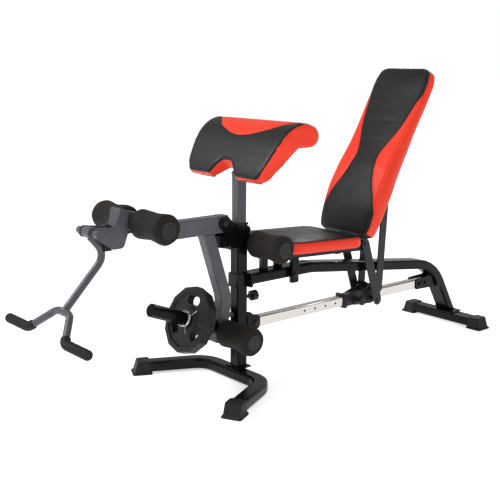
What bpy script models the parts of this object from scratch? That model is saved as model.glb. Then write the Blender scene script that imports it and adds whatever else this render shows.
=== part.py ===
"""Adjustable weight bench with a leg lever, a curl bar and a preacher pad.

Everything is worked out in the bench's own plan: x = 0 is the middle plane, y = 0 the middle of the
front post, +Y runs back towards the backrest and z = 0 is the floor.  Two-part positions are (y, z).
Every piece hangs from an empty on its joint's axis, and all of them from one empty that puts the
middle of the whole bench over the origin.
"""

import math

import bmesh
import bpy
from mathutils import Matrix, Vector

X = Vector((1, 0, 0))
Y = Vector((0, 1, 0))
Z = Vector((0, 0, 1))
SIDES = {"right": 1, "left": -1}

# ---- fits -----------------------------------------------------------------------------------
GAP = 0.0003  # between pieces that touch
RUNNING = 0.0005  # round a sliding or turning piece
WALL = 0.002  # steel tube
BEND_STEP = math.radians(12)

# ---- floor and frame ------------------------------------------------------------------------
SOLE = 0.006  # rubber under the base tubes
FOOT_WALL = 0.003
FOOT_LENGTH = 0.048
FOOT_OUT = 0.019  # how far the sole runs out past the boot's top
FOOT_FLARE = 0.006
FRONT_TUBE = (0.055, 0.040)  # plan width, height
FRONT_BACK_Y = -0.018  # centreline of the front base behind the arms
FRONT_BEND_X = 0.163
FRONT_ARM_SPLAY = math.radians(26)
FRONT_ARM_LENGTH = 0.262
FRONT_BEND_RADIUS = 0.090
POST = 0.045
POST_TOP = 0.570
POST_PLATE = (0.076, 0.062, 0.004)
BEAM = (0.070, 0.040)  # width, height
BEAM_Z = 0.370
BEAM_BEND_Y = 0.335
BEAM_FALL = math.radians(7.2)
LEG_BEND_Y = 1.077
LEG_END_Y = 1.212
REAR_TUBE = (0.060, 0.040)
REAR_Y = 1.204
REAR_HALF = 0.195
LEG_PLATE = (0.130, 0.078, 0.004)
STRAP_WALL = 0.004
STRAP_EAR = 0.048
STRAP_RISE = 0.005

# ---- rail and carriage ----------------------------------------------------------------------
RAIL = 0.038
RAIL_Z = 0.2015
RAIL_START_Y = POST / 2 + 0.0075
RAIL_END_Y = 1.045
HOLE_Y = 0.590  # the hole that the pin is in
HOLE_PITCH = 0.0555
HOLE_COUNT = 6
PIN_RADIUS = 0.004
CARRIAGE_Y = (0.537, 0.655)
CARRIAGE_WALL = 0.004
GUIDE_DEPTH = 0.010
GUIDE_LIP = 0.0045
CHEEK_SINK = 0.002  # how deep the cheeks are let into the sleeve's sides
LINK_FOOT = (0.682, 0.190)  # lower pivot of the seat links
STRUT_FOOT = (0.698, 0.235)  # lower pivot of the backrest struts

# ---- seat and backrest ----------------------------------------------------------------------
SEAT_PIVOT = (0.228, 0.362)
BACK_PIVOT = (0.600, 0.430)
SEAT_FALL = math.radians(2.93)
SEAT_TOP_AT_PIVOT = 0.5060  # height of the cushion's face straight above the seat's pivot
SEAT_PAD = (0.310, 0.381, 0.0460)  # width, length, thickness
SEAT_PAD_FRONT_Y = 0.110
BOARD = 0.0075
SEAT_RAIL = (0.018, 0.028)
SEAT_RAIL_X = 0.0455
SEAT_LEG_DEPTH = 0.034
SEAT_BUMPER_Y = 0.488
BACK_ANGLE = math.radians(61.2)
BACK_FACE_OFFSET = 0.0972  # cushion face to the backrest's pivot
BACK_PAD = (0.278, 0.724, 0.057)  # greatest width, length, least thickness
BACK_PAD_START = 0.0053  # lower end of the cushion, along the backrest from its pivot
BACK_SHAPE = (  # distance up the cushion, its half width, how much thicker it is there
    (0.0, 0.100, 0.0),
    (0.010, 0.128, 0.002),
    (0.040, 0.1360, 0.007),
    (0.105, 0.1385, 0.020),
    (0.187, 0.1390, 0.027),
    (0.277, 0.1350, 0.025),
    (0.382, 0.1310, 0.012),
    (0.457, 0.1340, 0.006),
    (0.537, 0.1370, 0.002),
    (0.594, 0.1390, 0.0),
    (0.668, 0.1390, 0.0),
    (0.709, 0.1270, 0.0),
    (0.724, 0.1000, 0.0),
)
BACK_TUBE = 0.040
BACK_TUBE_LENGTH = 0.600
STRUT_HEAD = (0.200, -0.025)  # the struts' upper bolt: up the backrest from its pivot, and behind it
STRUT_X = (0.0445, 0.0505)
LINK_X = (0.0555, 0.0605)
STRUT_HALF = 0.0185
LINK_HALF = 0.0205

# ---- leg lever ------------------------------------------------------------------------------
LEVER_PIVOT = (-0.083, 0.585)
LEVER_WIDTH = POST  # the lever swings between cheeks on the post's sides
LEVER_ARM_HEIGHT = 0.060
LEVER_ARM_Z = 0.582
LEVER_ARM_BACK_Y = -0.066
LEVER_ARM_BEND_Y = -0.290
LEVER_ARM_FRONT_Y = -0.508
LEVER_ARM_RISE = math.radians(17.5)
LEVER_LEG_TOP_Y = -0.1475
LEVER_LEG_KNEE = (-0.071, 0.315)
LEVER_LEG_END = (-0.096, 0.160)
CURL_PIVOT = (-0.602, 0.612)
SLEEVE_END = (-0.382, 0.324)
SLEEVE_RISE = math.radians(21.6)
SLEEVE_RADIUS = 0.0235
SLEEVE_LENGTH = 0.300
PLATE_FROM_END = 0.160  # sleeve's outer end to the weight plate's face
PLATE_RADIUS = 0.1185
PLATE_THICKNESS = 0.034
PLATE_SIDES = 12
PLATE_GRIP = (0.064, 0.030, 0.012)  # hand hole: length, height, corner radius
PLATE_GRIP_REACH = 0.58  # share of the plate's radius

# ---- rollers --------------------------------------------------------------------------------
THIGH_ROLLER = (0.047, 0.500)
SHIN_ROLLER = (-0.4364, 0.6265)
ANKLE_ROLLER = (-0.0895, 0.1976)
ROLLER_TUBE_RADIUS = 0.0125
FOAM_INNER_X = 0.0324
FOAM_OUTER_X = 0.1895
FOAM_RADIUS = 0.050
FOAM_WAIST = 0.0435
ROLLER_CAP_RADIUS = 0.029

# ---- preacher pad ---------------------------------------------------------------------------
MAST = 0.038
MAST_BOTTOM = 0.165
MAST_HEAD = (0.042, 0.160)  # the strip on its top, along the pad from its lower edge
MAST_HOLE_PITCH = 0.040
MAST_HOLE_Z = 0.548
PREACHER_EDGE = (-0.086, 0.758)  # lower front edge of the pad's face
PREACHER_ANGLE = math.radians(43.8)
PREACHER_THICKNESS = 0.040  # over the board
PREACHER_BOARD = 0.010
PREACHER_BOARD_SPAN = (0.014, 0.162)
PREACHER_SIDE = (  # distance up the pad, depth under the plane through its two lower corners
    (0.0000, 0.0040),
    (0.0311, -0.0100),
    (0.0725, -0.0220),
    (0.1140, -0.0310),
    (0.1450, -0.0350),
    (0.1813, -0.0340),
    (0.2124, -0.0260),
    (0.2435, -0.0100),
    (0.2642, 0.0135),
    (0.2776, 0.0420),
    (0.2756, 0.0670),
    (0.2621, 0.0840),
    (0.2424, 0.0900),
    (0.2196, 0.0830),
    (0.2020, 0.0660),
    (0.1865, 0.0520),
    (0.1720, 0.0400),
    (0.1036, 0.0400),
    (0.0207, 0.0400),
    (0.0041, 0.0360),
    (0.0000, 0.0260),
)
PREACHER_HALF = (  # distance up the pad, half width
    (0.000, 0.192),
    (0.008, 0.203),
    (0.020, 0.209),
    (0.040, 0.214),
    (0.145, 0.233),
    (0.228, 0.240),
    (0.300, 0.240),
)
CLAMP_Z = 0.300

# ---- curl bar -------------------------------------------------------------------------------
CURL_RADIUS = 0.0125
CURL_GRIP_RADIUS = 0.0155
CURL_KNEE = (-0.545, 0.535)
CURL_FORK = (-0.700, 0.374)
CURL_ARM_DROP = 0.088
CURL_SHOULDER_X = 0.040
CURL_ELBOW_X = 0.115
CURL_END_X = 0.250
CURL_FORK_BEND = 0.035
CURL_HEEL_Y = -0.533  # front of the plate that holds the bar's rubber rest

BOLT = 0.006

MATERIALS = {
    "frame_black": ((0.012, 0.011, 0.011), 0.28, 0.0),
    "lever_grey": ((0.085, 0.085, 0.098), 0.35, 0.2),
    "chrome": ((0.62, 0.60, 0.58), 0.12, 1.0),
    "bolt_black": ((0.02, 0.02, 0.02), 0.35, 0.6),
    "plastic_black": ((0.018, 0.017, 0.017), 0.5, 0.0),
    "rubber_black": ((0.02, 0.02, 0.02), 0.75, 0.0),
    "foam_black": ((0.03, 0.027, 0.026), 0.85, 0.0),
    "vinyl_black": ((0.03, 0.03, 0.033), 0.45, 0.0),
    "vinyl_red": ((0.85, 0.06, 0.03), 0.45, 0.0),
    "board": ((0.05, 0.04, 0.035), 0.8, 0.0),
    "spring_steel": ((0.7, 0.7, 0.7), 0.2, 1.0),
}


# ---- scene and materials --------------------------------------------------------------------
def clear_scene():
    for obj in list(bpy.data.objects):
        bpy.data.objects.remove(obj, do_unlink=True)


def material(name):
    made = bpy.data.materials.get(name)
    if made:
        return made
    colour, roughness, metallic = MATERIALS[name]
    made = bpy.data.materials.new(name)
    made.use_nodes = True
    shader = made.node_tree.nodes["Principled BSDF"]
    shader.inputs["Base Color"].default_value = (*colour, 1)
    shader.inputs["Roughness"].default_value = roughness
    shader.inputs["Metallic"].default_value = metallic
    return made


def plan_of(pivot):
    return Vector(pivot["plan"])


def empty(name, place, parent=None):
    """A joint's axis, or the bench itself: place is (x, y, z) in the bench's plan."""
    pivot = bpy.data.objects.new(name, None)
    bpy.context.collection.objects.link(pivot)
    pivot.parent = parent
    pivot.location = Vector(place) - (plan_of(parent) if parent else Vector())
    pivot["plan"] = Vector(place)
    return pivot


def finished(name, mesh_maker, pivot, surface, sharp=40):
    """A new object from a filled bmesh, with its origin on the pivot's axis."""
    mesh = bpy.data.meshes.new(name)
    bmesh.ops.recalc_face_normals(mesh_maker, faces=mesh_maker.faces)
    mesh_maker.to_mesh(mesh)
    mesh_maker.free()
    mesh.transform(Matrix.Translation(-plan_of(pivot)))
    mesh.shade_smooth()
    mesh.set_sharp_from_angle(angle=math.radians(sharp))
    obj = bpy.data.objects.new(name, mesh)
    bpy.context.collection.objects.link(obj)
    obj.parent = pivot
    if surface:
        mesh.materials.append(material(surface))
    return obj


def hide(tool):
    tool.hide_render = True
    tool.display_type = "WIRE"


def boolean(target, tool, operation):
    step = target.modifiers.new(tool.name, "BOOLEAN")
    step.operation = operation
    step.solver = "EXACT"
    step.object = tool
    hide(tool)


def cut(target, *tools):
    for tool in tools:
        boolean(target, tool, "DIFFERENCE")


def weld(target, *others):
    for other in others:
        boolean(target, other, "UNION")
    return target


# ---- outlines and paths ---------------------------------------------------------------------
def at(x, yz):
    return Vector((x, yz[0], yz[1]))


def filleted(corners, radius, closed=False, step=BEND_STEP):
    """Points of a polyline whose corners are arcs; radius is one value, or one for each corner."""
    corners = [Vector(corner) for corner in corners]
    radii = radius if isinstance(radius, (list, tuple)) else [radius] * len(corners)
    points = []
    for index, corner in enumerate(corners):
        before = corners[index - 1]
        after = corners[(index + 1) % len(corners)]
        at_end = not closed and index in (0, len(corners) - 1)
        if at_end or radii[index] == 0:
            points.append(corner)
            continue
        into = (corner - before).normalized()
        out = (after - corner).normalized()
        turn = into.angle(out)
        if turn < 1e-4:
            points.append(corner)
            continue
        back = radii[index] * math.tan(turn / 2)
        start = corner - into * back
        centre = start + (out - into * into.dot(out)).normalized() * radii[index]
        spoke = start - centre
        count = max(2, math.ceil(turn / step))
        for part in range(count + 1):
            angle = turn * part / count
            points.append(centre + spoke * math.cos(angle) + into * radii[index] * math.sin(angle))
    return points


def rounded_rect(width, height, radius, steps=2):
    """Corners of a rounded rectangle round (0, 0), anticlockwise."""
    points = []
    for quarter, (sx, sy) in enumerate(((1, 1), (-1, 1), (-1, -1), (1, -1))):
        for part in range(steps + 1):
            angle = math.radians(90) * (quarter + part / steps)
            points.append(
                (
                    sx * (width / 2 - radius) + radius * math.cos(angle),
                    sy * (height / 2 - radius) + radius * math.sin(angle),
                )
            )
    return points


def circle(radius, count=14):
    return [
        (radius * math.cos(math.tau * k / count), radius * math.sin(math.tau * k / count))
        for k in range(count)
    ]


def back_normal(angle):
    """Out of the face of something that leans back at an angle from level."""
    return Vector((0, -math.sin(angle), math.cos(angle)))


def stadium(first, second, radius, steps=7):
    """A flat bar's outline: half circles round two (y, z) places, joined by straight sides."""
    first = Vector(first)
    second = Vector(second)
    heading = math.atan2(second.y - first.y, second.x - first.x)
    points = []
    for centre, start in ((second, heading - math.pi / 2), (first, heading + math.pi / 2)):
        for part in range(steps + 1):
            angle = start + math.pi * part / steps
            points.append(centre + radius * Vector((math.cos(angle), math.sin(angle))))
    return points


# ---- solids ---------------------------------------------------------------------------------
def loft(rings, cyclic=False):
    """Skin between rings of equal length: capped at both ends, or the last joined to the first."""
    shape = bmesh.new()
    made = [[shape.verts.new(point) for point in ring] for ring in rings]
    pairs = list(zip(made, made[1:]))
    if cyclic:
        pairs.append((made[-1], made[0]))
    else:
        shape.faces.new(made[0])
        shape.faces.new(made[-1])
    for low, high in pairs:
        for index in range(len(low)):
            after = (index + 1) % len(low)
            shape.faces.new((low[index], low[after], high[after], high[index]))
    return shape


def swept_rings(path, outline, across, start_plane=None, end_plane=None):
    """The outline carried along a flat path; its first axis is across, its second in the path's plane."""
    path = [Vector(point) for point in path]
    rings = []
    for index, centre in enumerate(path):
        into = (centre - path[max(index - 1, 0)]).normalized()
        out = (path[min(index + 1, len(path) - 1)] - centre).normalized()
        heading = (into + out).normalized()
        stretch = 1 / heading.dot(into if index else out)
        up = across.cross(heading)
        ring = [centre + across * a + up * (b * stretch) for a, b in outline]
        plane = start_plane if index == 0 else end_plane if index == len(path) - 1 else None
        if plane:
            point, normal = plane
            ring = [p + heading * ((point - p).dot(normal) / heading.dot(normal)) for p in ring]
        rings.append(ring)
    return rings


def bar(path, outline, across=X, hollow=None, start_plane=None, end_plane=None):
    """A solid bar, or with hollow (an inner outline) an open tube, along a path."""
    outer = swept_rings(path, outline, across, start_plane, end_plane)
    if not hollow:
        return loft(outer)
    inner = swept_rings(path, hollow, across, start_plane, end_plane)
    return loft(outer + inner[::-1], cyclic=True)


def box_tube(path, width, height, corner, across=X, wall=WALL, **planes):
    outer = rounded_rect(width, height, corner)
    inner = rounded_rect(width - 2 * wall, height - 2 * wall, max(corner - wall, 0.0005))
    return bar(path, outer, across, inner, **planes)


def slab(outline, low_x, high_x):
    """A flat plate: a (y, z) outline from one x to another."""
    return loft([[at(low_x, p) for p in outline], [at(high_x, p) for p in outline]])


def block(low, high):
    ring = ((low[0], low[1]), (high[0], low[1]), (high[0], high[1]), (low[0], high[1]))
    return loft([[Vector((x, y, z)) for x, y in ring] for z in (low[2], high[2])])


def turned(profile, centre, axis, steps=24, ring=False):
    """A turned piece: profile is (radius, distance along the axis); ring closes it round a bore."""
    shape = bmesh.new()
    points = [shape.verts.new((radius, 0, along)) for radius, along in profile]
    edges = [shape.edges.new(pair) for pair in zip(points, points[1:])]
    if ring:
        edges.append(shape.edges.new((points[-1], points[0])))
    bmesh.ops.spin(
        shape,
        geom=points + edges,
        cent=(0, 0, 0),
        axis=(0, 0, 1),
        angle=math.tau,
        steps=steps,
        use_merge=True,
    )
    bmesh.ops.remove_doubles(shape, verts=shape.verts, dist=1e-6)
    turn = Z.rotation_difference(axis).to_matrix().to_4x4()
    shape.transform(Matrix.Translation(centre) @ turn)
    return shape


def rod(radius, start, end, steps=16):
    """A plain round bar between two places."""
    length = (Vector(end) - Vector(start)).length
    profile = ((0, 0), (radius, 0), (radius, length), (0, length))
    return turned(profile, start, (Vector(end) - Vector(start)).normalized(), steps)


def merged(*shapes):
    """Several separate shapes in one, for a tool that cuts in many places."""
    whole = bmesh.new()
    for shape in shapes:
        mesh = bpy.data.meshes.new("part of a tool")
        shape.to_mesh(mesh)
        shape.free()
        whole.from_mesh(mesh)
        bpy.data.meshes.remove(mesh)
    return whole


# ---- front and rear bases -------------------------------------------------------------------
def base_z(tube):
    return SOLE + tube[1] / 2


def front_arm(side):
    """Where one front arm leaves the bend, and the way that it points."""
    heading = Vector((side * math.sin(FRONT_ARM_SPLAY), -math.cos(FRONT_ARM_SPLAY), 0))
    return Vector((side * FRONT_BEND_X, FRONT_BACK_Y, base_z(FRONT_TUBE))), heading


def make_front_base(bench):
    ends = {side: front_arm(side) for side in (1, -1)}
    tips = {side: corner + heading * FRONT_ARM_LENGTH for side, (corner, heading) in ends.items()}
    path = filleted((tips[-1], ends[-1][0], ends[1][0], tips[1]), FRONT_BEND_RADIUS)
    tube = box_tube(path, FRONT_TUBE[1], FRONT_TUBE[0], 0.009, across=Z)
    finished("front_base", tube, bench, "frame_black")
    for word, side in SIDES.items():
        make_foot(f"front_foot_{word}", bench, tips[side], ends[side][1], FRONT_TUBE)


def make_foot(name, bench, tip, heading, tube):
    """A rubber boot over a tube's end; its outer face slopes out to a sole on the floor."""
    across = Z.cross(heading)
    width = tube[0] + 2 * FOOT_WALL
    top = SOLE + tube[1] + FOOT_WALL
    levels = (
        (0, FOOT_OUT, FOOT_FLARE),
        (SOLE * 0.7, FOOT_OUT, FOOT_FLARE),
        (SOLE * 1.8, FOOT_OUT * 0.62, FOOT_FLARE * 0.3),
        (top - 0.004, FOOT_OUT * 0.1, 0),
        (top, 0, -0.002),
    )
    rings = []
    for height, out, flare in levels:
        length = FOOT_LENGTH + out + flare
        middle = tip + heading * (FOOT_WALL + out - length / 2)
        middle.z = height
        ring = rounded_rect(length, width + 2 * flare, 0.007)
        rings.append([middle + heading * a + across * b for a, b in ring])
    boot = finished(name, loft(rings), bench, "rubber_black")
    inside = rounded_rect(tube[0] + 2 * GAP, tube[1] + 2 * GAP, 0.009)
    outward = [tip + heading * reach for reach in (-2 * FOOT_LENGTH, GAP)]
    pocket = finished(f"{name}_pocket", bar(outward, inside, across), bench, None)
    cut(boot, pocket)


def make_rear_base(bench):
    height = base_z(REAR_TUBE)
    path = [Vector((x, REAR_Y, height)) for x in (-REAR_HALF, REAR_HALF)]
    tube = box_tube(path, REAR_TUBE[1], REAR_TUBE[0], 0.008, across=Z)
    finished("rear_base", tube, bench, "frame_black")
    for word, side in SIDES.items():
        make_foot(f"rear_foot_{word}", bench, path[side > 0], X * side, REAR_TUBE)


def flat_plate(name, pivot, size, centre, low):
    """A rectangular plate lying level: size is (across, along, thickness)."""
    outline = rounded_rect(size[0], size[1], 0.006)
    places = [(centre[0] + x, centre[1] + y) for x, y in outline]
    rings = [[Vector((x, y, z)) for x, y in places] for z in (low, low + size[2])]
    return finished(name, loft(rings), pivot, None)


# ---- post, beam and rail --------------------------------------------------------------------
def knob_holes(spare, low_y, high_y, heights):
    """Round holes along +Y, one at each height, for the mast's pin and clamp."""
    radius = PIN_RADIUS + spare
    return merged(*(rod(radius, (0, low_y, z), (0, high_y, z), 10) for z in heights))


def make_post(bench):
    low = SOLE + FRONT_TUBE[1] + GAP
    path = [Vector((0, 0, low + POST_PLATE[2] / 2)), Vector((0, 0, POST_TOP))]
    post = finished("post", box_tube(path, POST, POST, 0.005), bench, "frame_black")
    weld(post, flat_plate("post_plate", bench, POST_PLATE, (0, 0), low))
    holes = knob_holes(RUNNING, POST / 2 - 2 * WALL, POST, (MAST_HOLE_Z, CLAMP_Z))
    cut(post, finished("post_holes", holes, bench, None))


def make_post_guide(bench):
    """The plastic guide in the post's mouth: a lip on top and a thin sleeve inside."""
    bore = MAST + 2 * GAP
    inside = POST - 2 * WALL - 2 * GAP
    lip = POST + 0.004
    levels = (
        (inside, POST_TOP - 0.055),
        (inside, POST_TOP + GAP),
        (lip, POST_TOP + GAP),
        (lip, POST_TOP + 0.007),
        (bore, POST_TOP + 0.007),
        (bore, POST_TOP - 0.055),
    )
    rings = [[Vector((x, y, z)) for x, y in rounded_rect(size, size, 0.003)] for size, z in levels]
    guide = finished("post_guide", loft(rings, cyclic=True), bench, "plastic_black")
    holes = knob_holes(RUNNING, MAST / 2 - 0.001, POST, (MAST_HOLE_Z,))
    cut(guide, finished("post_guide_hole", holes, bench, None))


def beam_corners():
    bend = (BEAM_BEND_Y, BEAM_Z)
    leg = (LEG_BEND_Y, BEAM_Z - (LEG_BEND_Y - BEAM_BEND_Y) * math.tan(BEAM_FALL))
    foot = (LEG_END_Y, SOLE + REAR_TUBE[1] + GAP + LEG_PLATE[2] / 2)
    return bend, leg, foot


def leg_heading():
    _, leg, foot = beam_corners()
    return (at(0, foot) - at(0, leg)).normalized()


def beam_path():
    start = (POST / 2 + GAP + STRAP_WALL / 2, BEAM_Z)
    return filleted([at(0, yz) for yz in (start, *beam_corners())], [0, 0.20, 0.20, 0])


def make_beam(bench):
    foot = beam_corners()[-1]
    path = beam_path()
    tube = box_tube(path, BEAM[0], BEAM[1], 0.008, end_plane=(at(0, foot), Z))
    beam = finished("beam", tube, bench, "frame_black")
    low = SOLE + REAR_TUBE[1] + GAP
    weld(beam, make_beam_end(bench), flat_plate("leg_plate", bench, LEG_PLATE, (0, REAR_Y), low))
    hole = rod(BOLT + GAP, at(-BEAM[0], SEAT_PIVOT), at(BEAM[0], SEAT_PIVOT))
    cut(beam, finished("beam_hole", hole, bench, None))


def make_beam_end(bench):
    """The plate on the beam's front end, with the four bolt heads that hold it to the strap."""
    height = BEAM[1] + 2 * STRAP_RISE
    plate = rounded_rect(2 * STRAP_EAR, height, 0.005)
    face = POST / 2 + GAP
    rings = [[Vector((x, y, BEAM_Z + z)) for x, z in plate] for y in (face, face + STRAP_WALL)]
    end_plate = finished("beam_end_plate", loft(rings), bench, None)
    bolts = [
        rod(
            0.0065,
            (side * (STRAP_EAR - 0.009), face + STRAP_WALL / 2, BEAM_Z + rise),
            (side * (STRAP_EAR - 0.009), face + STRAP_WALL + 0.005, BEAM_Z + rise),
            6,
        )
        for side in (-1, 1)
        for rise in (-0.014, 0.014)
    ]
    return weld(end_plate, finished("beam_end_bolts", merged(*bolts), bench, None))


def make_beam_strap(bench):
    """A strap round the post's front, folded into ears that meet the beam's end plate."""
    low = BEAM_Z - BEAM[1] / 2 - STRAP_RISE
    high = BEAM_Z + BEAM[1] / 2 + STRAP_RISE
    inner = POST / 2 + GAP
    outer = inner + STRAP_WALL
    ear = STRAP_EAR
    outline = (
        (-ear, POST / 2 - STRAP_WALL),
        (-outer, POST / 2 - STRAP_WALL),
        (-outer, -outer),
        (outer, -outer),
        (outer, POST / 2 - STRAP_WALL),
        (ear, POST / 2 - STRAP_WALL),
        (ear, POST / 2),
        (inner, POST / 2),
        (inner, -inner),
        (-inner, -inner),
        (-inner, POST / 2),
        (-ear, POST / 2),
    )
    rings = [[Vector((x, y, z)) for x, y in outline] for z in (low, high)]
    finished("beam_strap", loft(rings), bench, "frame_black")


def make_rail(bench):
    path = [Vector((0, y, RAIL_Z)) for y in (RAIL_START_Y, RAIL_END_Y)]
    rail = finished("rail", box_tube(path, RAIL, RAIL, 0.004), bench, "chrome")
    places = [HOLE_Y - HOLE_PITCH * step for step in range(HOLE_COUNT)]
    drills = [
        rod(PIN_RADIUS + RUNNING, (RAIL / 2 - 2 * WALL, y, RAIL_Z), (RAIL, y, RAIL_Z), 12) for y in places
    ]
    cut(rail, finished("rail_holes", merged(*drills), bench, None))


def make_rail_front(bench):
    """The channel on the post that holds the rail's front end, and its cross bolt."""
    inner = RAIL / 2 + GAP
    outer = inner + 0.004
    back = POST / 2 + GAP
    web = back + 0.004
    end = RAIL_START_Y + 0.053
    bolt_y = RAIL_START_Y + 0.034
    cheek = filleted(
        [(back, 0.178), (end, 0.178), (end, 0.228), (RAIL_START_Y + 0.020, 0.237), (back, 0.237)],
        [0, 0.016, 0.016, 0.020, 0],
        closed=True,
    )
    channel = finished("rail_front_bracket", slab(cheek, inner, outer), bench, "frame_black")
    far = finished("rail_front_cheek", slab(cheek, -outer, -inner), bench, None)
    back_plate = finished(
        "rail_front_web", block((-outer, back, 0.1785), (outer, web, 0.2365)), bench, None
    )
    weld(channel, back_plate, far)
    cross = rod(BOLT + GAP, (-RAIL, bolt_y, RAIL_Z), (RAIL, bolt_y, RAIL_Z))
    cut(channel, finished("rail_front_hole", cross, bench, None))
    through = rod(BOLT + GAP, (-RAIL, bolt_y, RAIL_Z), (RAIL, bolt_y, RAIL_Z))
    cut(bpy.data.objects["rail"], finished("rail_bolt_hole", through, bench, None))
    make_bolt("rail_front_bolt", bench, (bolt_y, RAIL_Z), outer, head=0.0115)


def make_bolt(name, pivot, yz, half_grip, head=0.010, thickness=0.005):
    """A cross bolt: a shank between two heads that sit just clear of what they hold."""
    grip = half_grip + GAP
    profile = (
        (0, -grip - thickness),
        (head * 0.75, -grip - thickness),
        (head, -grip - thickness * 0.6),
        (head, -grip),
        (BOLT, -grip),
        (BOLT, grip),
        (head, grip),
        (head, grip + thickness * 0.6),
        (head * 0.75, grip + thickness),
        (0, grip + thickness),
    )
    return finished(name, turned(profile, at(0, yz), X, steps=18), pivot, "bolt_black")


def make_rail_rear(bench):
    """Two cheeks on the rail's rear end, welded to a plate that lies against the leaning leg."""
    inner = RAIL / 2 + GAP
    outer = inner + 0.004
    down = leg_heading()
    _, leg, _ = beam_corners()
    out = Vector((0, -down.z, down.y))
    face = at(0, leg) - out * (BEAM[1] / 2 + GAP)

    def on_face(z, clear):
        return (face + down * ((z - face.z) / down.z) - out * clear).yz

    low, high = RAIL_Z - 0.030, RAIL_Z + 0.026
    start = RAIL_END_Y - 0.078
    cheek = [(start, RAIL_Z - 0.022), on_face(low, -0.004), on_face(high, -0.004)]
    cheek.append((start, RAIL_Z + 0.024))
    bracket = finished("rail_rear_bracket", slab(cheek, inner, outer), bench, "frame_black")
    far = finished("rail_rear_cheek", slab(cheek, -outer, -inner), bench, None)
    deep = -0.008
    proud = 0.006
    low, high = low - 0.003, high + 0.003
    edge = [on_face(z, d) for z, d in ((low, deep), (high, deep), (high, proud), (low, proud))]
    flange = finished("rail_rear_flange", slab(edge, -BEAM[0] / 2, BEAM[0] / 2), bench, None)
    weld(bracket, flange, far)
    heads = []
    for y in (RAIL_END_Y - 0.052, RAIL_END_Y - 0.015):
        for side in (-1, 1):
            ends = [(side * reach, y, RAIL_Z) for reach in (outer - 0.002, outer + 0.005)]
            heads.append(rod(0.0075, *ends, 12))
    weld(bracket, finished("rail_rear_heads", merged(*heads), bench, None))
    outline = rounded_rect(BEAM[0] + 2 * GAP, BEAM[1] + 2 * GAP, 0.008)
    cut(bracket, finished("leg_shape", bar(beam_path(), outline), bench, None))


# ---- rollers --------------------------------------------------------------------------------
def make_roller(name, pivot, yz):
    """A tube with a cap on each end, and a waisted foam sleeve on each side."""
    tube_end = FOAM_OUTER_X + GAP
    cap = tube_end + 0.0035
    profile = (
        (0, -cap),
        (ROLLER_CAP_RADIUS - 0.003, -cap),
        (ROLLER_CAP_RADIUS, -tube_end - 0.001),
        (ROLLER_CAP_RADIUS, -tube_end),
        (ROLLER_TUBE_RADIUS, -tube_end),
        (ROLLER_TUBE_RADIUS, tube_end),
        (ROLLER_CAP_RADIUS, tube_end),
        (ROLLER_CAP_RADIUS, tube_end + 0.001),
        (ROLLER_CAP_RADIUS - 0.003, cap),
        (0, cap),
    )
    finished(f"{name}_bar", turned(profile, at(0, yz), X, steps=20), pivot, "plastic_black")
    length = FOAM_OUTER_X - FOAM_INNER_X
    bore = ROLLER_TUBE_RADIUS + GAP
    corner = 0.012
    skin = [
        (bore, 0),
        (FOAM_RADIUS - corner - 0.002, 0),
        (FOAM_RADIUS - 0.005, corner * 0.4),
        (FOAM_RADIUS - 0.002, corner * 1.3),
        (FOAM_RADIUS - 0.003, length * 0.22),
        (FOAM_WAIST, length * 0.5),
        (FOAM_RADIUS - 0.001, length * 0.78),
        (FOAM_RADIUS, length - corner * 1.2),
        (FOAM_RADIUS - 0.004, length - corner * 0.35),
        (FOAM_RADIUS - corner, length),
        (bore, length),
    ]
    for word, side in SIDES.items():
        sleeve = turned(skin, at(side * FOAM_INNER_X, yz), X * side, steps=20, ring=True)
        finished(f"{name}_foam_{word}", sleeve, pivot, "foam_black")


def make_roller_support(bench):
    """The bent tube on the beam that carries the thigh roller's bearing."""
    foot_y = 0.117
    size = 0.025
    start = (foot_y, BEAM_Z + BEAM[1] / 2 + GAP)
    path = filleted([at(0, start), at(0, (foot_y, 0.430)), at(0, THIGH_ROLLER)], 0.022)
    support = finished("roller_support", box_tube(path, size, size, 0.003), bench, "frame_black")
    half = FOAM_INNER_X - 0.002
    bearing = rod(0.0175, at(-half, THIGH_ROLLER), at(half, THIGH_ROLLER), 20)
    weld(support, finished("roller_bearing", bearing, bench, None))
    bore = rod(ROLLER_TUBE_RADIUS + RUNNING, at(-0.05, THIGH_ROLLER), at(0.05, THIGH_ROLLER), 20)
    cut(support, finished("roller_bearing_bore", bore, bench, None))


# ---- leg lever ------------------------------------------------------------------------------
def make_lever_bracket(bench):
    """Two cheeks on the post's sides round the lever's pivot, with a stop stub between them."""
    inner = POST / 2 + GAP
    outer = inner + 0.005
    y, z = LEVER_PIVOT
    nose = 0.026
    turns = [math.radians(a) for a in range(60, 211, 15)]
    cheek = [(y + nose * math.cos(turn), z + nose * math.sin(turn)) for turn in turns]
    cheek += [(-0.083, 0.550), (-0.058, 0.493), (POST / 2, 0.493), (POST / 2, 0.558)]
    cheek.append((-0.028, POST_TOP - 0.004))
    bracket = finished("lever_bracket", slab(cheek, inner, outer), bench, "frame_black")
    far = finished("lever_bracket_far", slab(cheek, -outer, -inner), bench, None)
    stub = block((-inner - 0.001, -0.098, 0.501), (inner + 0.001, -inner, 0.5445))
    weld(bracket, finished("stop_stub", stub, bench, None), far)
    hole = rod(BOLT + GAP, at(-POST, LEVER_PIVOT), at(POST, LEVER_PIVOT))
    cut(bracket, finished("lever_bracket_hole", hole, bench, None))
    make_bolt("lever_bolt", bench, LEVER_PIVOT, outer, head=0.0115)
    make_bumper(bench)


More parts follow.
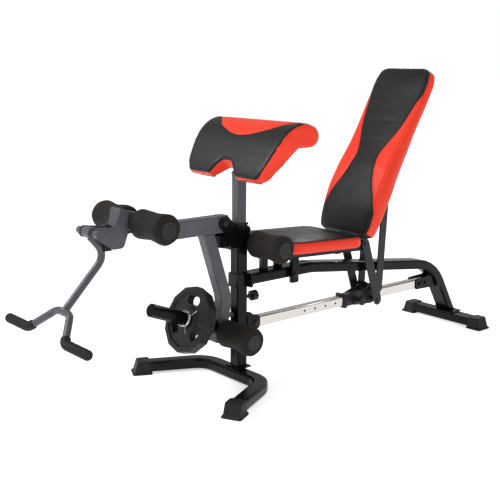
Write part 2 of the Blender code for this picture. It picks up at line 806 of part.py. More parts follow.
def lever_leg_back(z, clear=0.0):
    """(y, z) on the rear face of the lever's leg, above its knee."""
    top = Vector((LEVER_LEG_TOP_Y, LEVER_ARM_Z - LEVER_ARM_HEIGHT / 2))
    knee = Vector(LEVER_LEG_KNEE)
    run = (knee - top).normalized()
    back = Vector((-run.y, run.x)) * (LEVER_WIDTH / 2 + clear)
    point = top + back
    return (point.x + run.x * (z - point.y) / run.y, z)


def make_bumper(bench):
    """A rubber block on the stop stub; its front follows the slope of the lever's leg."""
    face = -0.098 - GAP
    low, high = 0.503, 0.5425
    outline = [lever_leg_back(low, GAP), (face, low), (face, high), lever_leg_back(high, GAP)]
    finished("lever_bumper", slab(outline, -0.018, 0.018), bench, "rubber_black")


def make_lever(lever):
    back = (LEVER_ARM_BACK_Y, LEVER_ARM_Z)
    bend = (LEVER_ARM_BEND_Y, LEVER_ARM_Z)
    run = LEVER_ARM_BEND_Y - LEVER_ARM_FRONT_Y
    front = (LEVER_ARM_FRONT_Y, LEVER_ARM_Z + run * math.tan(LEVER_ARM_RISE))
    path = filleted([at(0, yz) for yz in (back, bend, front)], 0.090)
    arm = finished("lever_arm", box_tube(path, LEVER_WIDTH, LEVER_ARM_HEIGHT, 0.005), lever, "lever_grey")
    for yz, radius in ((LEVER_PIVOT, BOLT + GAP), (SHIN_ROLLER, ROLLER_TUBE_RADIUS + RUNNING)):
        hole = rod(radius, at(-LEVER_WIDTH, yz), at(LEVER_WIDTH, yz), 20)
        cut(arm, finished(f"lever_hole_{radius:.4f}", hole, lever, None))
    under = LEVER_ARM_Z - LEVER_ARM_HEIGHT / 2 - GAP
    path = filleted([at(0, yz) for yz in ((LEVER_LEG_TOP_Y, under), LEVER_LEG_KNEE, LEVER_LEG_END)], 0.10)
    tube = box_tube(path, LEVER_WIDTH, LEVER_WIDTH, 0.005, start_plane=(at(0, (0, under)), Z))
    leg = finished("lever_leg", tube, lever, "lever_grey")
    weld(leg, finished("lever_leg_lid", leg_cap(), lever, None))
    lug = finished("lever_lug", rod(0.009, (0, -0.064, 0.246), (0, -0.031, 0.246), 14), lever, None)
    weld(leg, lug)
    hole = rod(ROLLER_TUBE_RADIUS + RUNNING, at(-0.05, ANKLE_ROLLER), at(0.05, ANKLE_ROLLER), 20)
    cut(leg, finished("lever_leg_hole", hole, lever, None))


def leg_cap():
    """A lid on the lower end of the lever's leg."""
    knee, end = at(0, LEVER_LEG_KNEE), at(0, LEVER_LEG_END)
    down = (end - knee).normalized()
    widths = ((LEVER_WIDTH, -WALL), (LEVER_WIDTH, 0.0015), (LEVER_WIDTH - 0.005, 0.003))
    across = X.cross(down)
    rings = []
    for width, reach in widths:
        ring = rounded_rect(width, width, 0.005)
        rings.append([end + down * reach + X * a + across * b for a, b in ring])
    return loft(rings)


def make_curl_bracket(lever):
    """Two hooked cheeks on the arm's front end, joined by a nose plate, a heel plate and an axle."""
    inner = LEVER_WIDTH / 2 + GAP
    outer = inner + 0.005
    cheek = filleted(
        [
            (-0.475, 0.672),
            (-0.478, 0.598),
            (-0.495, 0.552),
            (-0.535, 0.552),
            (-0.590, 0.588),
            (-0.626, 0.600),
            (-0.620, 0.634),
            (-0.540, 0.622),
            (-0.514, 0.631),
            (-0.506, 0.680),
        ],
        [0.006, 0.030, 0.018, 0.016, 0.030, 0.016, 0.016, 0.020, 0.012, 0.006],
        closed=True,
    )
    bracket = finished("curl_bracket", slab(cheek, inner, outer), lever, "lever_grey")
    far = finished("curl_bracket_far", slab(cheek, -outer, -inner), lever, None)
    heel_plate = block((-inner - 0.001, CURL_HEEL_Y, 0.5545), (inner + 0.001, -0.500, 0.5635))
    heel = finished("curl_heel", heel_plate, lever, None)
    run = LEVER_ARM_BEND_Y - LEVER_ARM_FRONT_Y
    front = Vector((LEVER_ARM_FRONT_Y, LEVER_ARM_Z + run * math.tan(LEVER_ARM_RISE)))
    ahead = Vector((-math.cos(LEVER_ARM_RISE), math.sin(LEVER_ARM_RISE)))
    up = Vector((math.sin(LEVER_ARM_RISE), math.cos(LEVER_ARM_RISE)))
    half = LEVER_ARM_HEIGHT / 2
    nose_edge = [
        front + ahead * reach + up * rise
        for reach, rise in ((GAP, -half), (0.0045, -half), (0.0045, half), (GAP, half))
    ]
    nose = finished("arm_nose", slab(nose_edge, -inner - 0.001, inner + 0.001), lever, None)
    axle_rod = rod(0.0125, at(-0.060, CURL_PIVOT), at(0.060, CURL_PIVOT), 20)
    axle = finished("curl_axle", axle_rod, lever, None)
    weld(bracket, heel, nose, axle, far)
    block_low = Vector((-0.018, -0.562, 0.548))
    block_high = Vector((0.018, CURL_HEEL_Y - GAP, 0.567))
    pad = finished("curl_rest_pad", block(block_low, block_high), lever, "rubber_black")
    nest = bar(curl_stem_path(), circle(CURL_RADIUS + GAP, 16))
    cut(pad, finished("curl_rest_nest", nest, lever, None))


def curl_stem_path():
    start = Vector(CURL_PIVOT) + Vector((0.004, -0.0155))
    return filleted([at(0, yz) for yz in (start, CURL_KNEE, CURL_FORK)], 0.045, step=math.radians(15))


def make_curl_bar(curl):
    """The hanging bar: an eye on the axle, a bent stem, and a fork to two hand grips."""
    eye_half = LEVER_WIDTH / 2 - 0.001
    eye = turned(
        ((0.0125 + GAP, -eye_half), (0.0185, -eye_half), (0.0185, eye_half), (0.0125 + GAP, eye_half)),
        at(0, CURL_PIVOT),
        X,
        steps=20,
        ring=True,
    )
    curl_bar = finished("curl_bar", eye, curl, "lever_grey")
    stem = finished("curl_stem", bar(curl_stem_path(), circle(CURL_RADIUS, 12)), curl, None)
    fork = curl_fork_path(CURL_END_X)
    normal = X.cross(Vector((0, -1, -1)).normalized())
    arms = finished("curl_arms", bar(fork, circle(CURL_RADIUS, 12), normal), curl, None)
    weld(curl_bar, stem, arms)
    for word, side in SIDES.items():
        path = grip_path(side)
        sleeve = bar(path, circle(CURL_GRIP_RADIUS, 12), normal, circle(CURL_RADIUS + GAP, 12))
        finished(f"curl_grip_{word}", sleeve, curl, "foam_black")


def on_fork(x, drop):
    down = Vector((0, -1, -1)).normalized()
    return at(0, CURL_FORK) + X * x + down * drop


def curl_fork_path(end_x):
    places = [(CURL_SHOULDER_X, 0), (CURL_ELBOW_X, CURL_ARM_DROP), (end_x, CURL_ARM_DROP)]
    corners = [on_fork(-x, drop) for x, drop in places[::-1]] + [on_fork(x, drop) for x, drop in places]
    return filleted(corners, CURL_FORK_BEND, step=math.radians(15))


def grip_path(side):
    """The hand grip starts a little above the elbow and ends past the bar's own end."""
    share = 0.80
    x = CURL_SHOULDER_X + (CURL_ELBOW_X - CURL_SHOULDER_X) * share
    corners = [
        on_fork(side * x, CURL_ARM_DROP * share),
        on_fork(side * CURL_ELBOW_X, CURL_ARM_DROP),
        on_fork(side * (CURL_END_X + 0.004), CURL_ARM_DROP),
    ]
    return filleted(corners, CURL_FORK_BEND, step=math.radians(15))


def sleeve_place(from_end):
    """A place on the plate sleeve's axis, measured back from its outer end."""
    return at(0, SLEEVE_END) + Vector((0, math.cos(SLEEVE_RISE), -math.sin(SLEEVE_RISE))) * from_end


def sleeve_out():
    return Vector((0, -math.cos(SLEEVE_RISE), math.sin(SLEEVE_RISE)))


def make_plate_sleeve(lever):
    """The peg for weight plates: a round tube with a stop ring, cut to the leg's front face."""
    stop = PLATE_FROM_END + PLATE_THICKNESS + GAP
    profile = (
        (0, 0),
        (SLEEVE_RADIUS, 0),
        (SLEEVE_RADIUS, SLEEVE_LENGTH - stop - 0.008),
        (SLEEVE_RADIUS + 0.010, SLEEVE_LENGTH - stop - 0.008),
        (SLEEVE_RADIUS + 0.010, SLEEVE_LENGTH - stop),
        (SLEEVE_RADIUS, SLEEVE_LENGTH - stop),
        (SLEEVE_RADIUS, SLEEVE_LENGTH - 0.003),
        (SLEEVE_RADIUS - 0.003, SLEEVE_LENGTH),
        (0, SLEEVE_LENGTH),
    )
    base = sleeve_place(SLEEVE_LENGTH)
    sleeve = finished("plate_sleeve", turned(profile, base, sleeve_out(), steps=24), lever, "frame_black")
    knee, end = Vector(LEVER_LEG_KNEE), Vector(LEVER_LEG_END)
    run = (end - knee).normalized()
    front = Vector((run.y, -run.x)) * (LEVER_WIDTH / 2 + GAP)
    edge = [knee + front, end + front, end + front + Vector((0.12, 0)), knee + front + Vector((0.12, 0))]
    cut(sleeve, finished("leg_face", slab(edge, -0.05, 0.05), lever, None))


def make_weight_plate(plate):
    """A twelve-sided plate with a raised rim and hub and three hand holes."""
    profile = (
        (SLEEVE_RADIUS + 0.002, 0),
        (PLATE_RADIUS * 0.985, 0),
        (PLATE_RADIUS, 0.003),
        (PLATE_RADIUS, PLATE_THICKNESS - 0.003),
        (PLATE_RADIUS * 0.97, PLATE_THICKNESS),
        (PLATE_RADIUS * 0.84, PLATE_THICKNESS),
        (PLATE_RADIUS * 0.80, PLATE_THICKNESS - 0.007),
        (PLATE_RADIUS * 0.41, PLATE_THICKNESS - 0.007),
        (PLATE_RADIUS * 0.36, PLATE_THICKNESS),
        (SLEEVE_RADIUS + 0.002, PLATE_THICKNESS),
    )
    back = sleeve_place(PLATE_FROM_END + PLATE_THICKNESS)
    disc = turned(profile, back, sleeve_out(), steps=PLATE_SIDES, ring=True)
    body = finished("weight_plate", disc, plate, "rubber_black", sharp=25)
    rise = sleeve_out().cross(X)
    drills = []
    for turn in (90, 210, 330):
        angle = math.radians(turn)
        outward = X * math.cos(angle) + rise * math.sin(angle)
        along = X * -math.sin(angle) + rise * math.cos(angle)
        rings = []
        for depth in (-0.01, PLATE_THICKNESS + 0.01):
            middle = back + outward * (PLATE_RADIUS * PLATE_GRIP_REACH) + sleeve_out() * depth
            rings.append([middle + along * a + outward * b for a, b in rounded_rect(*PLATE_GRIP)])
        drills.append(loft(rings))
    cut(body, finished("weight_plate_grips", merged(*drills), plate, None))


def make_spring_collar(collar):
    """A coil collar, as one ring with its two finger levers."""
    start = sleeve_place(PLATE_FROM_END - GAP)
    bore = SLEEVE_RADIUS + GAP
    profile = ((bore, 0), (bore + 0.0045, 0), (bore + 0.0045, 0.014), (bore, 0.014))
    ring = turned(profile, start, sleeve_out(), steps=24, ring=True)
    body = finished("spring_collar", ring, collar, "spring_steel")
    rise = sleeve_out().cross(X)
    levers = []
    for turn in (38, -48):
        angle = math.radians(turn)
        outward = X * math.cos(angle) + rise * math.sin(angle)
        root = start + outward * (bore + 0.002) + sleeve_out() * 0.007
        levers.append(rod(0.0028, root, root + outward * 0.036 + sleeve_out() * 0.010, 8))
    weld(body, finished("collar_levers", merged(*levers), collar, None))


# ---- preacher pad ---------------------------------------------------------------------------
def on_preacher(along, depth):
    """(y, z) at a distance up the pad's face from its lower edge, and a depth under the face."""
    c, s = math.cos(PREACHER_ANGLE), math.sin(PREACHER_ANGLE)
    return (PREACHER_EDGE[0] + c * along + s * depth, PREACHER_EDGE[1] + s * along - c * depth)


def make_mast(mast):
    strip = 0.005
    low = PREACHER_THICKNESS + PREACHER_BOARD + 2 * GAP
    top = at(0, on_preacher(MAST_HEAD[1], low))
    face = (at(0, on_preacher(0, low + strip / 2)), back_normal(PREACHER_ANGLE))
    path = [Vector((0, 0, MAST_BOTTOM)), Vector((0, 0, top.z))]
    tube = finished("mast", box_tube(path, MAST, MAST, 0.004, end_plane=face), mast, "lever_grey")
    start, end = MAST_HEAD
    corners = ((start, low), (end, low), (end, low + strip), (start, low + strip))
    edge = [on_preacher(along, depth) for along, depth in corners]
    weld(tube, finished("mast_head", slab(edge, -MAST / 2, MAST / 2), mast, None))
    heights = [MAST_HOLE_Z + MAST_HOLE_PITCH * step for step in range(-3, 3)]
    holes = knob_holes(RUNNING, MAST / 2 - 2 * WALL, MAST, heights)
    cut(tube, finished("mast_holes", holes, mast, None))


def make_preacher_board(mast):
    """The board under the pad, cut back round the notch."""
    low = PREACHER_THICKNESS + GAP
    high = low + PREACHER_BOARD
    start, end = PREACHER_BOARD_SPAN
    edge = [on_preacher(a, d) for a, d in ((start, low), (end, low), (end, high), (start, high))]
    board = finished("preacher_board", slab(edge, -0.165, 0.165), mast, "board")
    above, under = 0.02, 0.09
    corners = ((-0.03, above), (0.088, above), (0.088, under), (-0.03, under))
    slot = [on_preacher(a, d) for a, d in corners]
    cut(board, finished("preacher_board_slot", slab(slot, -0.085, 0.085), mast, None))


def preacher_half(along):
    """Half the pad's width at a distance up it: straight between the given places."""
    for (low, first), (high, second) in zip(PREACHER_HALF, PREACHER_HALF[1:]):
        if along <= high:
            return first + (second - first) * (along - low) / (high - low)
    return PREACHER_HALF[-1][1]


def make_preacher_pad(mast):
    """Rings across the pad; the outermost are drawn in a little, which rounds its side edges."""
    middle = (0.140, 0.010)
    rings = []
    for share, pinch in ((-1, 0.94), (-0.965, 1), (-0.6, 1), (0, 1), (0.6, 1), (0.965, 1), (1, 0.94)):
        ring = []
        for along, depth in PREACHER_SIDE:
            drawn = [m + (value - m) * pinch for m, value in zip(middle, (along, depth))]
            ring.append(at(share * preacher_half(along), on_preacher(*drawn)))
        rings.append(ring)
    pad = finished("preacher_pad", loft(rings), mast, "vinyl_black")
    half_notch = ((-0.030, 0.090), (0.000, 0.070), (0.024, 0.050), (0.051, 0.024))
    corners = [(a, -x) for a, x in half_notch] + [(a, x) for a, x in half_notch[::-1]]
    notch = filleted(corners, [0, 0.03, 0.03, 0.018, 0.018, 0.03, 0.03, 0], closed=True)
    rings = [[at(x, on_preacher(along, depth)) for along, x in notch] for depth in (-0.06, 0.07)]
    cut(pad, finished("preacher_notch", loft(rings), mast, None))


def knob_profile(start, stem_end, head_end, head, tip, groove=0.0):
    """A knob on a round shank, from the shank's tip out to the grip."""
    return (
        (0, tip),
        (PIN_RADIUS, tip),
        (PIN_RADIUS, start),
        (PIN_RADIUS * 1.6 + groove, start),
        (PIN_RADIUS * 1.6 + groove, stem_end),
        (head, stem_end + 0.002),
        (head, head_end - 0.004),
        (head * 0.72, head_end),
        (0, head_end),
    )


def make_mast_pin(pin):
    profile = knob_profile(POST / 2 + 0.0065, 0.034, 0.047, 0.0130, MAST / 2 + GAP)
    finished("mast_pin", turned(profile, (0, 0, MAST_HOLE_Z), Y, steps=10), pin, "plastic_black")


def make_mast_clamp(clamp):
    profile = knob_profile(POST / 2 + 0.012, 0.056, 0.084, 0.0200, MAST / 2 + GAP)
    finished("mast_clamp", turned(profile, (0, 0, CLAMP_Z), Y, steps=8), clamp, "plastic_black")


# ---- carriage -------------------------------------------------------------------------------
def make_carriage(carriage):
    """A sleeve on the rail with two cheeks behind it for the links and the struts."""
    inner = RAIL + 2 * RUNNING
    size = inner + 2 * CARRIAGE_WALL
    path = [Vector((0, y, RAIL_Z)) for y in CARRIAGE_Y]
    sleeve = box_tube(path, size, size, 0.005, wall=CARRIAGE_WALL)
    body = finished("carriage", sleeve, carriage, "lever_grey")
    out = size / 2 + 0.005
    cheek = filleted(
        [
            (0.575, RAIL_Z - 0.021),
            (0.575, RAIL_Z + 0.021),
            (STRUT_FOOT[0] - 0.004, STRUT_FOOT[1] + 0.016),
            (STRUT_FOOT[0] + 0.017, STRUT_FOOT[1] + 0.004),
            (STRUT_FOOT[0] + 0.006, LINK_FOOT[1] - 0.014),
            (LINK_FOOT[0] - 0.010, LINK_FOOT[1] - 0.018),
        ],
        [0.003, 0.012, 0.012, 0.014, 0.012, 0.012],
        closed=True,
    )
    tools = []
    for word, side in SIDES.items():
        low, high = sorted((side * (size / 2 - CHEEK_SINK), side * out))
        tools.append(finished(f"cheek_{word}", slab(cheek, low, high), carriage, None))
        reach = side * (LINK_X[0] - RUNNING)
        boss = rod(0.010, at(side * (out - 0.003), LINK_FOOT), at(reach, LINK_FOOT), 16)
        tools.append(finished(f"link_boss_{word}", boss, carriage, None))
    reach = STRUT_X[0] - RUNNING
    boss = rod(0.0105, at(-reach, STRUT_FOOT), at(reach, STRUT_FOOT), 16)
    tools.append(finished("strut_boss", boss, carriage, None))
    housing = rod(0.011, (size / 2 - 0.002, HOLE_Y, RAIL_Z), (0.041, HOLE_Y, RAIL_Z), 16)
    tools.append(finished("pin_housing", housing, carriage, None))
    weld(body, *tools)
    drill = rod(PIN_RADIUS + RUNNING, (RAIL / 2, HOLE_Y, RAIL_Z), (0.06, HOLE_Y, RAIL_Z), 12)
    cut(body, finished("pin_bore", drill, carriage, None))
    bore = rounded_rect(RAIL + 2 * GAP, RAIL + 2 * GAP, 0.003)
    lip = size + 2 * GUIDE_LIP
    between_cheeks = size - 2 * (CHEEK_SINK + GAP)
    guides = (
        ("front", CARRIAGE_Y[0] - GAP, -1, lip),
        ("rear", CARRIAGE_Y[1] + GAP, 1, between_cheeks),
    )
    for word, start, way, width in guides:
        path = [Vector((0, y, RAIL_Z)) for y in (start, start + way * GUIDE_DEPTH)]
        ring = bar(path, rounded_rect(width, lip, 0.003), hollow=bore)
        finished(f"carriage_guide_{word}", ring, carriage, "plastic_black")


def make_carriage_pin(pin):
    profile = knob_profile(0.0413, 0.047, 0.068, 0.0185, RAIL / 2 + GAP)
    finished("carriage_pin", turned(profile, (0, HOLE_Y, RAIL_Z), X, steps=12), pin, "plastic_black")


def strut_head():
    pivot, up, face = back_frame()
    return tuple((pivot + up * STRUT_HEAD[0] + face * STRUT_HEAD[1]).yz)


def make_flat_bar(name, pivot, low_end, high_end, half, side, span, head=0.0085):
    """A link or strut: a flat bar with a bolt head on its outer face at each end."""
    low, high = sorted((side * span[0], side * span[1]))
    bar_obj = finished(name, slab(stadium(low_end, high_end, half), low, high), pivot, "lever_grey")
    outer = side * span[1]
    sunk, proud = outer - side * 0.002, outer + side * 0.0042
    heads = [rod(head, at(sunk, yz), at(proud, yz), 6) for yz in (low_end, high_end)]
    weld(bar_obj, finished(f"{name}_heads", merged(*heads), pivot, None))


# ---- seat and backrest ----------------------------------------------------------------------
def seat_z(y, below=0.0):
    """Height at y of a plane that lies below the seat cushion's face."""
    return SEAT_TOP_AT_PIVOT - below - (y - SEAT_PIVOT[0]) * math.tan(SEAT_FALL)


def make_seat_frame(seat):
    """Two side tubes from the front legs to the backrest's pivot, with cross members."""
    width, height = SEAT_RAIL
    drop = SEAT_PAD[2] + BOARD + 2 * GAP + height / 2
    front_y, back_y = 0.150, BACK_PIVOT[0] - 0.004
    path = [Vector((SEAT_RAIL_X, y, seat_z(y, drop))) for y in (front_y, back_y)]
    frame = finished("seat_frame", box_tube(path, width, height, 0.003), seat, "frame_black")
    tools = []
    for word, side in SIDES.items():
        x = side * SEAT_RAIL_X
        if side < 0:
            far = [Vector((x, point.y, point.z)) for point in path]
            tools.append(finished("seat_rail_far", box_tube(far, width, height, 0.003), seat, None))
        y = SEAT_PIVOT[0]
        leg = [Vector((x, y, SEAT_PIVOT[1] - 0.029)), Vector((x, y, seat_z(y, drop)))]
        leg_tube = box_tube(leg, width, SEAT_LEG_DEPTH, 0.003)
        tools.append(finished(f"seat_leg_{word}", leg_tube, seat, None))
        low, high = sorted((x - width / 2, x + width / 2))
        ear = circle(0.0175, 18)
        outline = [(BACK_PIVOT[0] + a, BACK_PIVOT[1] + b - 0.004) for a, b in ear]
        tools.append(finished(f"seat_ear_{word}", slab(outline, low, high), seat, None))
    reach = SEAT_RAIL_X - width / 2 + 0.001
    for name, y in (("front", 0.290), ("rear", SEAT_BUMPER_Y)):
        middle = seat_z(y, drop)
        tie = block((-reach, y - 0.013, middle - 0.010), (reach, y + 0.013, middle + 0.008))
        tools.append(finished(f"seat_tie_{name}", tie, seat, None))
    weld(frame, *tools)
    for name, yz in (("front", SEAT_PIVOT), ("back", BACK_PIVOT)):
        drill = rod(BOLT + GAP, at(-0.07, yz), at(0.07, yz), 16)
        cut(frame, finished(f"seat_bore_{name}", drill, seat, None))
    make_bolt("seat_bolt", seat, SEAT_PIVOT, SEAT_RAIL_X + width / 2)
    shank = LINK_X[0] - RUNNING
    pin = rod(BOLT, at(-shank, BACK_PIVOT), at(shank, BACK_PIVOT), 16)
    finished("backrest_bolt", pin, seat, "bolt_black")
    top = seat_z(SEAT_BUMPER_Y, drop) - 0.010 - GAP
    bumper = block((-0.022, SEAT_BUMPER_Y - 0.013, top - 0.014), (0.022, SEAT_BUMPER_Y + 0.013, top))
    finished("seat_bumper", bumper, seat, "rubber_black")


def pad_rings(width, length, thickness, corner):
    """A cushion's plain solid round (0, 0, 0): across, along, and up from its underside."""
    rings = []
    for share, spare in ((0, 0.004), (0.15, 0), (0.72, 0), (0.93, 0.006), (1, 0.016)):
        height = thickness * share
        outline = rounded_rect(width - 2 * spare, length - 2 * spare, corner, steps=4)
        rings.append([(a, b, height) for a, b in outline])
    return rings


def make_seat_pad(seat):
    middle_y = SEAT_PAD_FRONT_Y + SEAT_PAD[1] / 2
    along = Vector((0, math.cos(SEAT_FALL), -math.sin(SEAT_FALL)))
    up = X.cross(along)
    base = Vector((0, middle_y, seat_z(middle_y, SEAT_PAD[2])))
    rings = [
        [base + X * a + along * b + up * c for a, b, c in ring]
        for ring in pad_rings(*SEAT_PAD, 0.035)
    ]
    finished("seat_pad", loft(rings), seat, "vinyl_black")
    low = base - up * (BOARD + GAP)
    outline = rounded_rect(SEAT_PAD[0] - 0.030, SEAT_PAD[1] - 0.030, 0.025)
    rings = [[low + up * c + X * a + along * b for a, b in outline] for c in (0, BOARD)]
    finished("seat_board", loft(rings), seat, "board")


def back_frame():
    """The backrest's pivot and directions: up along it, and out of its cushion's face."""
    up = Vector((0, math.cos(BACK_ANGLE), math.sin(BACK_ANGLE)))
    return at(0, BACK_PIVOT), up, back_normal(BACK_ANGLE)


def make_backrest(back):
    pivot, up, face = back_frame()
    path = [pivot + up * 0.010, pivot + up * BACK_TUBE_LENGTH]
    frame = finished("backrest_frame", box_tube(path, BACK_TUBE, BACK_TUBE, 0.004), back, "frame_black")
    half = SEAT_RAIL_X - SEAT_RAIL[0] / 2 - RUNNING
    sleeve = rod(0.0165, at(-half, BACK_PIVOT), at(half, BACK_PIVOT), 20)
    reach = STRUT_X[0] - RUNNING
    boss = rod(0.012, at(-reach, strut_head()), at(reach, strut_head()), 16)
    rings = []
    for width, reach_up in ((BACK_TUBE, -WALL), (BACK_TUBE, 0.002), (BACK_TUBE - 0.006, 0.004)):
        end = path[1] + up * reach_up
        rings.append([end + X * a + face * b for a, b in rounded_rect(width, width, 0.004)])
    lid = finished("backrest_lid", loft(rings), back, None)
    sleeve = finished("backrest_sleeve", sleeve, back, None)
    tools = [lid, sleeve, finished("strut_head_boss", boss, back, None)]
    board_back = BACK_FACE_OFFSET - BACK_PAD[2] - 2 * GAP - 0.009
    for name, reach_up in (("low", 0.130), ("high", 0.560)):
        rings = []
        for depth in (BACK_TUBE / 2 - 0.001, board_back):
            middle = pivot + up * reach_up + face * depth
            rings.append([middle + up * b + X * a for a, b in rounded_rect(0.180, 0.030, 0.004)])
        tools.append(finished(f"backrest_tie_{name}", loft(rings), back, None))
    weld(frame, *tools)
    drill = rod(BOLT + GAP, at(-0.05, BACK_PIVOT), at(0.05, BACK_PIVOT), 16)
    cut(frame, finished("backrest_bore", drill, back, None))
    make_backrest_pad(back, board_back)


def make_backrest_pad(back, board_back):
    """A cushion that is thickest low down; its rings lie square to its length."""
    pivot, up, face = back_frame()
    length, thickness = BACK_PAD[1:]
    base = pivot + up * BACK_PAD_START + face * (BACK_FACE_OFFSET - thickness)
    rings = []
    for reach, half, more in BACK_SHAPE:
        deep = thickness + more
        pinch = 0.72 if reach in (0, length) else 1
        centre = base + up * reach + face * (deep / 2)
        outline = rounded_rect(2 * half, deep * pinch, 0.012, steps=3)
        rings.append([centre + X * a + face * b for a, b in outline])
    finished("backrest_pad", loft(rings), back, "vinyl_black")
    outline = rounded_rect(BACK_PAD[0] - 0.050, length - 0.050, 0.025)
    middle = pivot + up * (BACK_PAD_START + length / 2)
    low, high = board_back + GAP, BACK_FACE_OFFSET - thickness - GAP
    rings = [[middle + X * a + up * b + face * c for a, b in outline] for c in (low, high)]
    finished("backrest_board", loft(rings), back, "board")


# ---- the whole bench ------------------------------------------------------------------------
def centre_on_floor(bench):
    """Move the bench so that the middle of its box is over the origin."""
    bpy.context.view_layer.update()
    graph = bpy.context.evaluated_depsgraph_get()
    places = []
    for obj in bpy.data.objects:
        if obj.type == "MESH" and not obj.hide_render:
            seen = obj.evaluated_get(graph)
            places += [obj.matrix_world @ Vector(corner) for corner in seen.bound_box]
    middle_y = (min(p.y for p in places) + max(p.y for p in places)) / 2
    bench.location.y = -middle_y


def main():
    clear_scene()
    bench = empty("bench", (0, 0, 0))
    make_front_base(bench)
    make_rear_base(bench)
    make_post(bench)
    make_post_guide(bench)
    make_beam(bench)
    make_beam_strap(bench)
    make_rail(bench)
    make_rail_front(bench)
    make_rail_rear(bench)
    make_roller_support(bench)
    make_roller("thigh_roller", empty("thigh_roller_axis", at(0, THIGH_ROLLER), bench), THIGH_ROLLER)

    make_lever_bracket(bench)
    lever = empty("lever_pivot", at(0, LEVER_PIVOT), bench)
    make_lever(lever)
    make_curl_bracket(lever)
    make_plate_sleeve(lever)
    make_roller("shin_roller", empty("shin_roller_axis", at(0, SHIN_ROLLER), lever), SHIN_ROLLER)
    make_roller("ankle_roller", empty("ankle_roller_axis", at(0, ANKLE_ROLLER), lever), ANKLE_ROLLER)
    make_curl_bar(empty("curl_pivot", at(0, CURL_PIVOT), lever))
    plate = empty("plate_slide", sleeve_place(PLATE_FROM_END), lever)
    make_weight_plate(plate)
    make_spring_collar(empty("collar_slide", sleeve_place(PLATE_FROM_END), plate))

    mast = empty("mast_slide", (0, 0, POST_TOP), bench)
    make_mast(mast)
    make_preacher_board(mast)
    make_preacher_pad(mast)
    make_mast_pin(empty("mast_pin_slide", (0, 0, MAST_HOLE_Z), bench))
    make_mast_clamp(empty("mast_clamp_screw", (0, 0, CLAMP_Z), bench))

    carriage = empty("carriage_slide", (0, HOLE_Y, RAIL_Z), bench)
    make_carriage(carriage)
    make_carriage_pin(empty("carriage_pin_slide", (0, HOLE_Y, RAIL_Z), carriage))
    seat = empty("seat_pivot", at(0, SEAT_PIVOT), bench)
    link = empty("link_pivot", at(0, BACK_PIVOT), seat)
    strut = empty("strut_pivot", at(0, STRUT_FOOT), carriage)
    for word, side in SIDES.items():
        make_flat_bar(f"seat_link_{word}", link, LINK_FOOT, BACK_PIVOT, LINK_HALF, side, LINK_X)
        make_flat_bar(f"strut_{word}", strut, STRUT_FOOT, strut_head(), STRUT_HALF, side, STRUT_X)

    make_seat_frame(seat)
    make_seat_pad(seat)
    make_backrest(empty("backrest_pivot", at(0, BACK_PIVOT), seat))
    centre_on_floor(bench)


main()
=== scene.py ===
# %% [markdown]
# # An adjustable weight bench
#
# A training bench on a black tube frame.  Its seat, backrest and preacher pad are black and red
# synthetic leather over foam, its leg lever and curl bar are grey enamel, and six black foam rollers
# hold the legs.  The frame's hard parts come from a finished model and only get their finishes here.
# The cushions with their welts, the foam sleeves, the grips and the collar's coil are made in this file.

import math

import bmesh
import bpy
import numpy as np
from mathutils import Matrix, Vector


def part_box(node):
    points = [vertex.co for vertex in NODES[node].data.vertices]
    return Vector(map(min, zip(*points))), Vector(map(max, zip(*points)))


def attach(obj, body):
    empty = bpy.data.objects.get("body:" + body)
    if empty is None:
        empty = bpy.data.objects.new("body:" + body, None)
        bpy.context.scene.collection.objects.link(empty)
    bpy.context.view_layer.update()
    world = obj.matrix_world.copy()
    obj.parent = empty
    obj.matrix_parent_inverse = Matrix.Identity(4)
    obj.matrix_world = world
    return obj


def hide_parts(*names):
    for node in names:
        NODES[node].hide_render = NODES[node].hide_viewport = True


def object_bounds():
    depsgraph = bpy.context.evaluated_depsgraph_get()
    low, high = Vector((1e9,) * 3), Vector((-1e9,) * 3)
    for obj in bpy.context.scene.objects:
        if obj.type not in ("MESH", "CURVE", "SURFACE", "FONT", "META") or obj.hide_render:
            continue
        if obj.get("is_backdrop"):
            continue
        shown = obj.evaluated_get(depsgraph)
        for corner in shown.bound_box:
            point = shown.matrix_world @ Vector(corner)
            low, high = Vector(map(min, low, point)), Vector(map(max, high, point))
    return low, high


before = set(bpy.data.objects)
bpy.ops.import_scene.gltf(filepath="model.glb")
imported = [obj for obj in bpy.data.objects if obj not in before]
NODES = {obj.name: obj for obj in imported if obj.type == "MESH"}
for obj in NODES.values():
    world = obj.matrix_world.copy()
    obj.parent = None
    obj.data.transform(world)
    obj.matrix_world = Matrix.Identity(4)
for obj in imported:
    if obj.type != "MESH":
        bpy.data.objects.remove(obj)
MODEL_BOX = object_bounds()
POST_TO_RAIL = 0.030  # from the front post's middle to the near end of the rail
HOME_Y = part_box("rail")[0].y - POST_TO_RAIL  # the post's middle; each (y, z) below starts from it
print(f"{len(NODES)} nodes, front post at y = {HOME_Y:.4f} m")

# %% [markdown]
# ## Grids of points
#
# Nearly every new piece here is a grid of points: one direction runs round the piece, the other along
# it.  A whole grid is worked out at once as a numpy array, and the faces follow from the row and
# column numbers alone.  A pole (the end of a grip, say) is a row whose points all fall together, so
# doubled points are merged at the end.


# %% A mesh from a grid
def grid_faces(rows, columns, close_rows, close_columns):
    """Quads (r, c), (r, c+1), (r+1, c+1), (r+1, c) for every cell, wrapping where a side is closed."""
    r = np.arange(rows if close_rows else rows - 1)
    c = np.arange(columns if close_columns else columns - 1)
    r, c = (index.ravel() for index in np.meshgrid(r, c, indexing="ij"))
    r_next = (r + 1) % rows
    c_next = (c + 1) % columns
    here, below = r * columns, r_next * columns
    return np.stack([here + c, here + c_next, below + c_next, below + c], 1)


